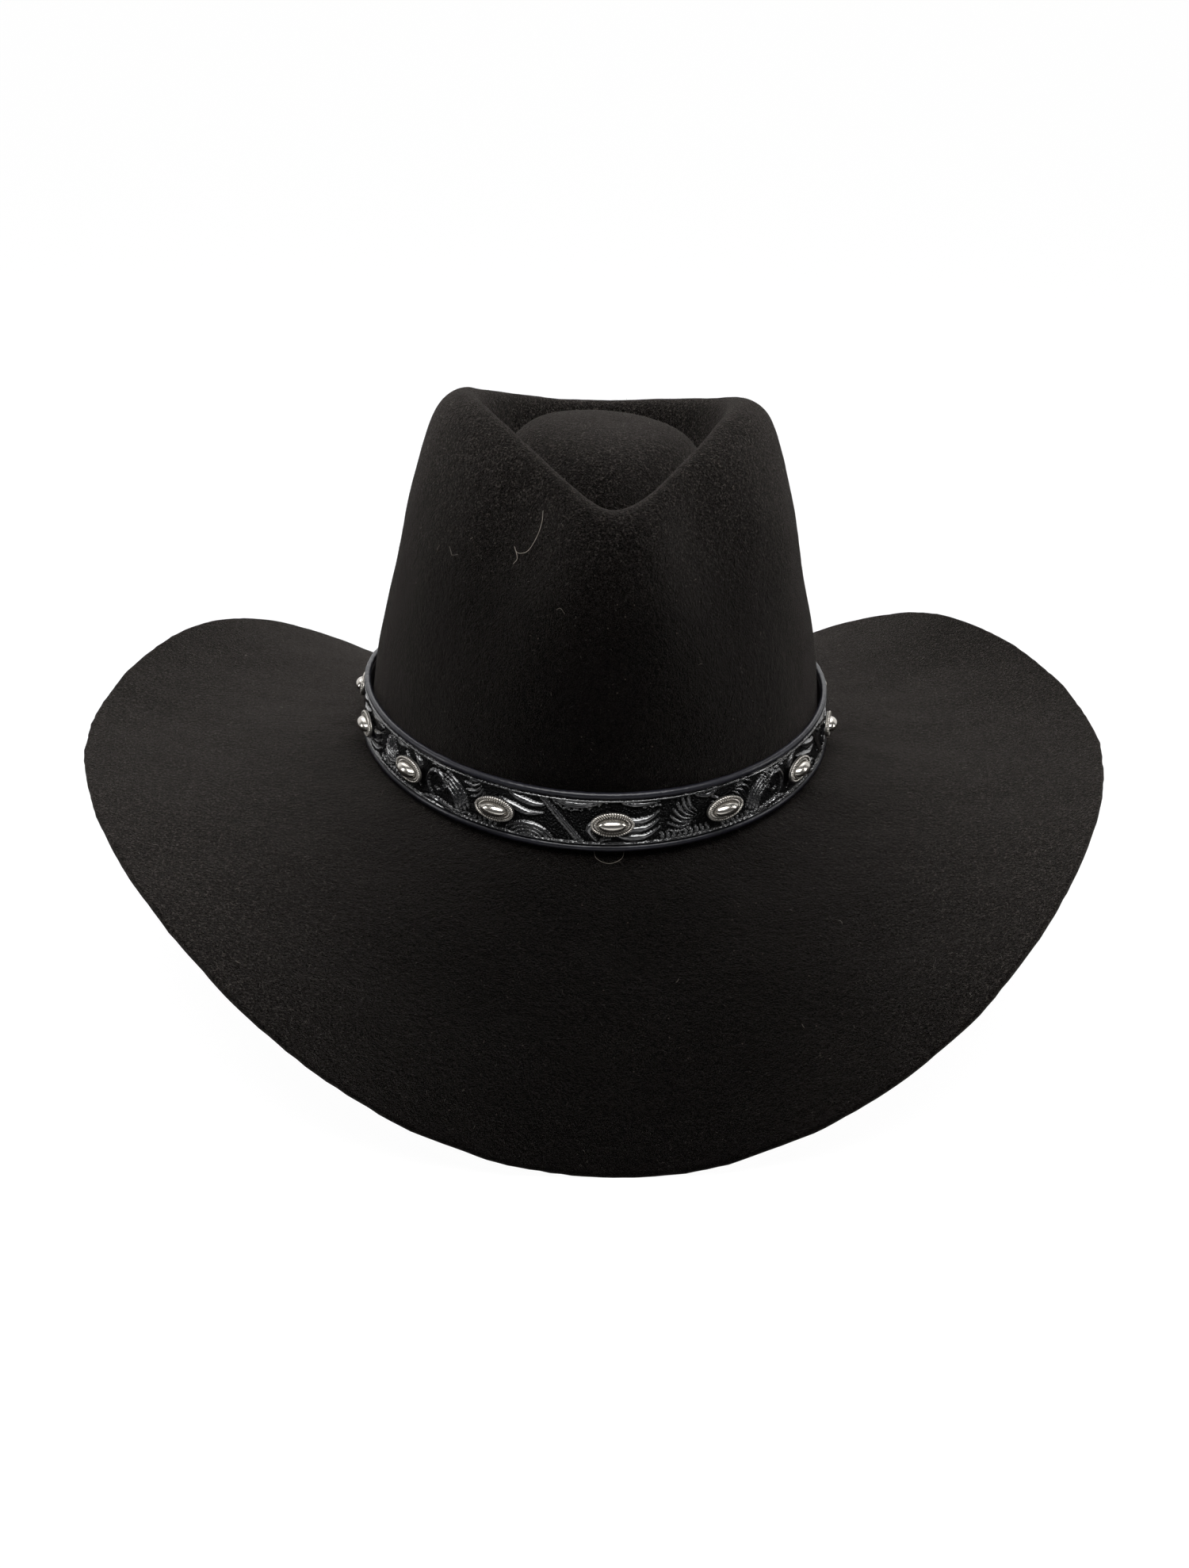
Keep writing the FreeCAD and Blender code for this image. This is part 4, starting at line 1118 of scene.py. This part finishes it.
# the soft pieces inside follow the felt's own unevenness, so that it never comes through them
wall_outer += grid_normals(wall_outer) * uneven(wall_outer)[..., None]
wall_normals = grid_normals(wall_outer)
fold_levels = (weights_round(wall_places) @ FOLD_BASE)[:, 2]


def wall_rows(levels, insets):
    """Rows of points inside the crown's wall, at levels [row, column], inset from its outer face."""
    levels, insets = np.broadcast_arrays(levels, insets)
    rows = np.empty((*levels.shape, 3))
    steps = np.arange(len(WALL_ALONG))
    for column in range(WALL_COLUMNS):
        at = np.interp(-levels[:, column], -wall_outer[:, column, 2], steps)
        for axis in range(3):
            point = np.interp(at, steps, wall_outer[:, column, axis])
            normal = np.interp(at, steps, wall_normals[:, column, axis])
            rows[:, column, axis] = point - normal * insets[:, column]
    return rows


def closed_shell(name, rows, material, node):
    """A ring whose section is a closed loop of rows."""
    piece = make_mesh(name, rows, grid_faces(len(rows), rows.shape[1], closed_rows=True), material,
                      "hat")
    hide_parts(node)
    return piece


def make_sweatband():
    """Leather band with a rolled lower edge, slight ripples and a sewn seam at the back."""
    outer_rows, inner_rows, shoulder = 30, 48, SWEAT_HIGH - 0.4
    heights = np.concatenate([np.linspace(SWEAT_LOW, shoulder, outer_rows), [SWEAT_HIGH],
                              np.linspace(shoulder, SWEAT_LOW, inner_rows)])
    insets = np.concatenate([np.full(outer_rows, SWEAT_INSET), [SWEAT_INSET + SWEAT_THICK / 2],
                             np.full(inner_rows, SWEAT_INSET + SWEAT_THICK)]) + FELT
    levels = fold_levels + heights[:, None]
    flat = wall_rows(levels, insets[:, None])
    inner = np.arange(len(heights)) > outer_rows + 1
    ripple = waves(flat, 38.0, 0.16, 41) + waves(flat, 9.0, 0.05, 42)
    # the seam at the back is a low ridge with a furrow along it; the crease runs all round
    from_seam = (wall_places - BACK_PLACE)[None, :] * PLACE_WIDTH
    seam = 0.35 * np.exp(-(from_seam / 1.3) ** 2) - 0.45 * np.exp(-(from_seam / 0.35) ** 2)
    crease = 0.22 * np.exp(-((heights[:, None] - CREASE_HEIGHT) / 0.7) ** 2)
    extra = np.where(inner[:, None], np.clip(ripple, -0.2, 0.3) + seam + crease, 0.0)
    rows = wall_rows(levels, insets[:, None] + np.clip(extra, -0.4, 0.6))
    return closed_shell("sweatband_leather", rows, SWEAT_MATERIAL, "sweatband")


def round_tube(path, radius, sides, twist=0.0, turns=0):
    """Rows of a closed tube round a closed path; twist is the depth of its strands."""
    ahead = unit(np.roll(path, -1, 0) - np.roll(path, 1, 0))
    side = unit(np.cross(ahead, UP))
    over = np.cross(side, ahead)
    phase = np.arange(len(path)) / len(path) * 2 * math.pi * turns
    rows = []
    for turn in full_turn(sides):
        reach = radius * (1 - twist * (0.5 + 0.5 * np.cos(2 * turn - phase)))[:, None]
        rows.append(path + side * reach * math.cos(turn) + over * reach * math.sin(turn))
    return np.stack(rows)


def make_reed():
    """The thin reed in its tape along the sweatband's lower edge."""
    level = SWEAT_LOW - REED - SOFT_GAP
    middle = SWEAT_INSET + SWEAT_THICK / 2 + FELT
    path = wall_rows((fold_levels + SWEAT_LOW)[None], np.array([[middle]]))[0]
    path = path + UP * (level - SWEAT_LOW)
    path = path + UP * (0.08 * waves(path, 8.0, 1.0, 43))[:, None]
    rows = round_tube(path, REED, 14, twist=0.06, turns=230)
    closed_shell("reed_in_tape", rows, REED_MATERIAL, "sweatband_reed")


def lowered_ring(ring):
    """A control ring of the felt moved inside it, for the liner's tip."""
    rise = 0.01
    along = max(0.0, ring - 1.0) if ring > 1 else ring / 3.0
    first, last = max(0.0, along - rise), along + rise
    columns = np.arange(COLUMNS)
    before = surface(net, [first, last], columns - rise)
    after = surface(net, [first, last], columns + rise)
    normal = unit(np.cross(before[1] - before[0], after[0] - before[0]))
    return net[ring] - normal * (FELT + LINER_GAP)


tip_net = [lowered_ring(ring) for ring in range(MOAT_RING + 1)]
rim_levels = weights_round(wall_places) @ tip_net[MOAT_RING][:, 2]
seam_line = wall_rows(rim_levels[None], np.array([[FELT + LINER_INSET + PIPING]]))[0]


def make_liner_side():
    """Satin wall of the lining, gathered into soft pleats toward its upper seam."""
    count = 40
    share = np.concatenate([np.linspace(0, 1, count), np.linspace(1, 0, count)])[:, None]
    top = rim_levels - PIPING - SOFT_GAP
    bottom = fold_levels + LINER_LOW
    levels = bottom + (top - bottom) * share
    free = np.clip((levels - fold_levels - SWEAT_HIGH - 1.0) / 18.0, 0, 1)
    uneven_pleats = SIDE_PLEATS * wall_angles + 1.5 * np.sin(7 * wall_angles)
    pleat = 0.5 + 0.5 * np.sin(uneven_pleats + 0.8 * share)
    sag = 0.5 + 0.5 * np.sin(5 * wall_angles + 3.0 * share)
    depth = free * (0.55 * pleat ** 2 * (0.35 + 0.65 * share) + 0.35 * sag)
    inset = FELT + LINER_INSET + depth
    inset = inset + np.where(np.arange(2 * count)[:, None] < count, 0.0, LINER_THICK)
    rows = wall_rows(levels, inset)
    piece = closed_shell("satin_side", rows, SATIN_MATERIAL, "liner_side")


def make_piping():
    """The twisted cord in the seam between the lining's side and its tip."""
    rows = round_tube(seam_line, PIPING, 12, twist=0.16, turns=150)
    closed_shell("piping_cord", rows, SATIN_MATERIAL, "liner_piping")


def make_liner_tip():
    """Satin top of the lining, puckered where it is gathered into the seam."""
    inner = tip_net[MOAT_RING]
    seam = seam_line[::WALL_COLUMNS // COLUMNS]
    outward = (seam - inner) * [1.0, 1.0, 0.0]
    reach = np.linalg.norm(outward, axis=-1, keepdims=True)
    outward = outward / reach
    reach = reach - PIPING - SOFT_GAP
    rings = np.stack(tip_net + [inner + outward * reach / 2, inner + outward * reach])
    rings[0, :, 2] = rings[0, 0, 2]
    last = len(rings) - 3.0
    along = np.linspace(0.0, last, 56)
    top = surface(rings, along, wall_places)
    share = (along / last)[:, None]
    hollows = np.minimum(uneven(top + UP * (FELT + LINER_GAP)), 0.0)
    drop = (TIP_SLOPE * hollows - TIP_DROP) * (1 - share ** 4)
    top = top + UP * drop[..., None]
    uneven_puckers = TIP_PUCKERS * wall_angles + 2.0 * np.sin(9 * wall_angles)
    pucker = 0.5 + 0.5 * np.sin(uneven_puckers + 1.2 * share)
    sag = 0.5 + 0.5 * np.sin(6 * wall_angles + 4 * share)
    sink = 0.7 * pucker * share ** 2.2 + 0.25 * sag * share
    top = top - UP * sink[..., None]
    under = (top - UP * LINER_THICK)[::-1]
    rows = np.concatenate([top, under])
    count = len(rows)
    points = np.concatenate([rows.reshape(-1, 3), [top[0].mean(0), under[-1].mean(0)]])
    piece = make_mesh("satin_tip", points, capped_faces(count, WALL_COLUMNS), SATIN_MATERIAL, "hat")
    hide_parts("liner_tip")


make_sweatband()
make_reed()
make_liner_side()
make_piping()
make_liner_tip()


# ------------------------------------------------------------- small pieces
COVER_WIDTH, COVER_HEIGHT, COVER_THICK = 14.0, 15.0, 1.2
COVER_SQUARENESS, COVER_ROUND = 9, 0.45
STITCH_INSET, STITCH_LENGTH, SEWN_SHARE = 1.3, 1.5, 0.8
FURROW_DEPTH, FURROW_WIDTH, THREAD_HEIGHT, THREAD_WIDTH = 0.22, 0.34, 0.30, 0.17
BOW_WIDTH, BOW_HEIGHT, BOW_THICK, BOW_GAP, BOW_LEVEL = 22.0, 8.0, 1.2, 1.1, 29.5
KNOT_WIDTH, LOOP_START, RIBBON_THICK = 4.0, 0.6, 0.13


def make_joint_cover():
    """A leather patch over the strap's joint, with a burnished edge and a sewn border."""
    count = 480
    turn = full_turn(count)
    square = COVER_SQUARENESS
    corner = (np.abs(np.cos(turn)) ** square + np.abs(np.sin(turn)) ** square) ** (-1 / square)
    outline = np.stack([COVER_WIDTH / 2 * corner * np.cos(turn),
                        COVER_HEIGHT / 2 * corner * np.sin(turn)], -1)
    steps = np.linalg.norm(np.roll(outline, -1, 0) - outline, axis=-1)
    along = np.cumsum(steps) - steps
    dashes = round(steps.sum() * SEWN_SHARE / STITCH_LENGTH)
    dash = np.clip(1.6 * np.sin(along / steps.sum() * dashes * 2 * math.pi) + 0.6, 0, 1)
    rows = []
    for share in np.concatenate([np.linspace(0.04, 0.72, 10), np.linspace(0.74, 0.99, 34)]):
        inset = (1 - share) * COVER_WIDTH / 2
        away = inset - STITCH_INSET
        level = COVER_THICK * (1 - 0.5 * max(0.0, 1 - inset / COVER_ROUND) ** 2)
        level = level - FURROW_DEPTH * math.exp(-(away / FURROW_WIDTH) ** 2)
        thread = THREAD_HEIGHT * dash * math.exp(-(away / THREAD_WIDTH) ** 2)
        rows.append(np.concatenate([outline * share, (level + thread)[:, None]], -1))
    face_rows = len(rows)
    for share, level in ((1.0, 0.55), (1.0, 0.3), (0.985, 0.08), (0.95, 0.0), (0.5, 0.0)):
        rows.append(np.concatenate([outline * share, np.full((count, 1), level)], -1))
    local = np.stack(rows)
    face = local[:face_rows]
    face[..., 2] += np.clip(waves(face, 4.0, 0.03, 51), -0.05, 0.02)
    centre, tangent, upward, outward = strap_frame(STRAP_LENGTH / 2, TOOLED_FACE + LAYER_GAP)
    local = np.concatenate([local.reshape(-1, 3), [[0, 0, COVER_THICK], [0, 0, 0]]])
    points = in_frame(local, centre, tangent, upward, outward)
    piece = make_mesh("joint_patch", points, capped_faces(len(rows), count), PATCH_MATERIAL,
                      "hatband")
    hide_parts("joint_cover")


def make_strap_lining():
    """The thin leather strip behind the tooled one, waxed and slightly wrinkled."""
    count = 900
    places = place_at(past_joint(np.linspace(0, 1, count)))
    low, high, corner = TOOLED_LOW, STRAP_HEIGHT - TOOLED_LOW, 0.2
    levels = np.linspace(low + corner, high - corner, 14)
    levels_down = np.linspace(high - corner, low + corner, 14)
    section = [(up, 0.0) for up in levels] + [(high, 0.2), (high, 0.7)]
    section += [(up, LINING) for up in levels_down] + [(low, 0.7), (low, 0.2)]
    rows = np.stack([strap_points(places, up, out) for up, out in section])
    inner = np.array([out == 0.0 for _, out in section])[:, None, None]
    middle = rows.mean((0, 1))
    toward = unit((middle - rows) * [1, 1, 0])
    wrinkle = np.clip(waves(rows, 5.0, 0.05, 52), -0.1, 0.1)[..., None]
    rows = rows - toward * np.where(inner, 0.1 + wrinkle, 0.0)
    faces, ends = strip_faces(len(section), count, reverse=True)
    piece = make_mesh("strap_lining_leather", rows, faces.tolist() + ends, LINING_MATERIAL, "hatband")
    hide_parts("strap_lining")


def ribbon_loop(hand):
    """One loop of the bow in its own frame: rows across the ribbon, closed round its path."""
    reach = BOW_WIDTH / 2 - LOOP_START
    turn = full_turn(60)
    x = LOOP_START + reach * (0.5 - 0.5 * np.cos(turn)) ** 0.8
    z = 0.62 + 0.42 * np.sin(turn) * np.clip(x / reach * 2.2, 0, 1)
    spread = np.clip((x - LOOP_START) / (0.55 * reach), 0, 1) ** 0.7
    half = 1.5 + (BOW_HEIGHT / 2 - 1.6) * spread
    across_it = np.linspace(-1, 1, 25)
    rows = []
    for face, shares in ((1, across_it), (-1, across_it[::-1])):
        for across in shares:
            gather = 0.14 * np.cos(across * 9.0) * np.clip(1.4 - x / reach, 0, 1)
            rows.append(np.stack([hand * x, across * half,
                                  z + gather * 0.5 + face * RIBBON_THICK * 0.5], -1))
    return np.stack(rows)


def make_bow():
    """The small flat ribbon bow at the back of the sweatband: two loops and a knot."""
    column = WALL_COLUMNS // 4
    levels = fold_levels + BOW_LEVEL
    insets = np.array([[FELT + SWEAT_INSET + SWEAT_THICK]])
    ring = wall_rows(levels[None], insets)[0]
    low = wall_rows((levels - BOW_HEIGHT / 2)[None], insets)[0]
    tangent = unit(ring[column + 1] - ring[column - 1])
    upward = unit(ring[column] - low[column])
    inward = unit(np.cross(upward, tangent))
    origin = ring[column] + inward * BOW_GAP
    parts, faces, start = [], [], 0
    for hand in (-1, 1):
        loop = ribbon_loop(hand)
        parts.append(loop.reshape(-1, 3))
        faces += grid_faces(len(loop), loop.shape[1], closed_rows=True, start=start).tolist()
        start += loop.shape[0] * loop.shape[1]
    knot, knot_rows, sides = [], 15, 40
    turn = full_turn(sides)
    for share in np.linspace(-1, 1, knot_rows):
        swell = (1 - abs(share) ** 4) ** 0.5 * 0.97 + 0.02
        fold = 1 + 0.05 * np.cos(5 * turn)
        knot.append(np.stack([KNOT_WIDTH / 2 * share + 0 * turn,
                              BOW_HEIGHT / 4 * swell * fold * np.cos(turn),
                              BOW_THICK + BOW_THICK * 0.92 * swell * fold * np.sin(turn)], -1))
    parts.append(np.stack(knot).reshape(-1, 3))
    faces += grid_faces(knot_rows, sides, start=start).tolist()
    local = np.concatenate(parts)
    points = in_frame(local, origin, tangent, upward, inward)
    piece = make_mesh("ribbon_bow", points, faces, RIBBON_MATERIAL, "hat")
    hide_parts("sweatband_bow")


make_joint_cover()
make_strap_lining()
make_bow()


# ----------------------------------------------------- CAD nodes that stay
def dress(node, material):
    """Give a CAD node a procedural material."""
    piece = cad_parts[node]
    piece = bpy.data.objects[piece] if isinstance(piece, str) else piece
    for slot in piece.material_slots:
        slot.material = material


dress("concho_rivets", RIVET_MATERIAL)
dress("cover_studs", SILVER_MATERIAL)


# ------------------------------------------------------ floor, light, camera
# in metres, as the floor, the lights and the camera are placed
FLOOR_START, FLOOR_END, BEND, WALL_TOP, FLOOR_REACH = -4.0, 2.2, 0.9, 4.0, 6.0
FADE_DARK_Y, FADE_BRIGHT_Y, FADE_DARK, FADE_BRIGHT = -0.66, -0.37, 0.06, 0.97


def make_floor():
    """A white floor that curves up into a wall behind the hat."""
    profile = [(FLOOR_START, 0.0), (FLOOR_END, 0.0)]
    for turn in np.linspace(0, math.pi / 2, 13)[1:]:
        profile.append((FLOOR_END + BEND * math.sin(turn), BEND - BEND * math.cos(turn)))
    profile.append((FLOOR_END + BEND, WALL_TOP))
    points = [(side, y, z) for y, z in profile for side in (-FLOOR_REACH, FLOOR_REACH)]
    faces = [(2 * k, 2 * k + 1, 2 * k + 3, 2 * k + 2) for k in range(len(profile) - 1)]
    mesh = bpy.data.meshes.new("floor")
    mesh.from_pydata(points, [], faces)
    mesh.polygons.foreach_set("use_smooth", [True] * len(faces))
    floor = bpy.data.objects.new("floor", mesh)
    bpy.context.scene.collection.objects.link(floor)
    material, tree, shader = new_material("white_studio_floor")
    # the floor's glow fades out in front of the hat, beyond the edge of the picture
    axes = add_node(tree, "SeparateXYZ")
    tree.links.new(object_coordinates(tree), axes.inputs[0])
    fade = add_node(tree, "MapRange", interpolation_type="SMOOTHSTEP")
    set_inputs(fade, From_Min=FADE_DARK_Y, From_Max=FADE_BRIGHT_Y, To_Min=FADE_DARK,
               To_Max=FADE_BRIGHT, Value=axes.outputs["Y"])
    set_inputs(shader, Base_Color=(0.06, 0.06, 0.06), Roughness=0.95, Specular_IOR_Level=0.0,
               Emission_Color=(1.0, 1.0, 1.0), Emission_Strength=fade.outputs["Result"])
    mesh.materials.append(material)


LIT_POINT = (0, 0, 0.1)


def make_area(name, place, size, power):
    """A rectangular softbox turned toward the hat."""
    light = bpy.data.lights.new(name, "AREA")
    light.shape = "RECTANGLE"
    light.size, light.size_y = size
    light.energy = power
    lamp = bpy.data.objects.new(name, light)
    lamp.location = place
    lamp.rotation_euler = (Vector(LIT_POINT) - Vector(place)).to_track_quat("-Z", "Y").to_euler()
    bpy.context.scene.collection.objects.link(lamp)


def make_world(strength):
    world = bpy.data.worlds.new("studio")
    bpy.context.scene.world = world
    world.use_nodes = True
    background = world.node_tree.nodes["Background"]
    set_inputs(background, Color=(1.0, 1.0, 1.0), Strength=strength)


ELEVATION, YAW, ROLL = math.radians(24.37), math.radians(3.84), math.radians(1.48)
DISTANCE, FOCAL_PIXELS, LONG_SIDE = 0.700, 2122.8, 1978.0
AIM = np.array([0.0008, 0.0, -0.0285])


def make_camera():
    """Camera looking at the hat from the front and above, turned a little to one side."""
    right = np.array([1.0, 0.0, 0.0])
    forward = np.array([0.0, math.cos(ELEVATION), -math.sin(ELEVATION)])
    upward = np.array([0.0, math.sin(ELEVATION), math.cos(ELEVATION)])
    place = AIM - forward * DISTANCE
    right, upward = (right * math.cos(ROLL) + upward * math.sin(ROLL),
                     upward * math.cos(ROLL) - right * math.sin(ROLL))
    turn = np.array(Matrix.Rotation(-YAW, 3, "Z"))
    place = turn @ place + SHIFT * MM
    right, upward, forward = turn @ right, turn @ upward, turn @ forward
    data = bpy.data.cameras.new("camera")
    data.sensor_width = 36.0
    data.lens = FOCAL_PIXELS / LONG_SIDE * 36.0
    data.clip_start, data.clip_end = 0.01, 50.0
    camera = bpy.data.objects.new("camera", data)
    camera.matrix_world = Matrix((
        (right[0], upward[0], -forward[0], place[0]),
        (right[1], upward[1], -forward[1], place[1]),
        (right[2], upward[2], -forward[2], place[2]),
        (0, 0, 0, 1)))
    bpy.context.scene.collection.objects.link(camera)
    bpy.context.scene.camera = camera


make_floor()
make_world(0.09)
make_area("back_softbox", (0.0, 0.95, 1.15), (1.5, 0.9), 9.0)
make_area("top_softbox", (0.0, -0.50, 1.15), (1.2, 0.5), 19.0)
make_area("left_strip", (-1.1, -0.10, 0.55), (0.10, 0.6), 3.0)
make_area("right_strip", (1.1, -0.10, 0.55), (0.10, 0.6), 3.0)
make_camera()
bpy.context.scene.view_settings.view_transform = "Standard"
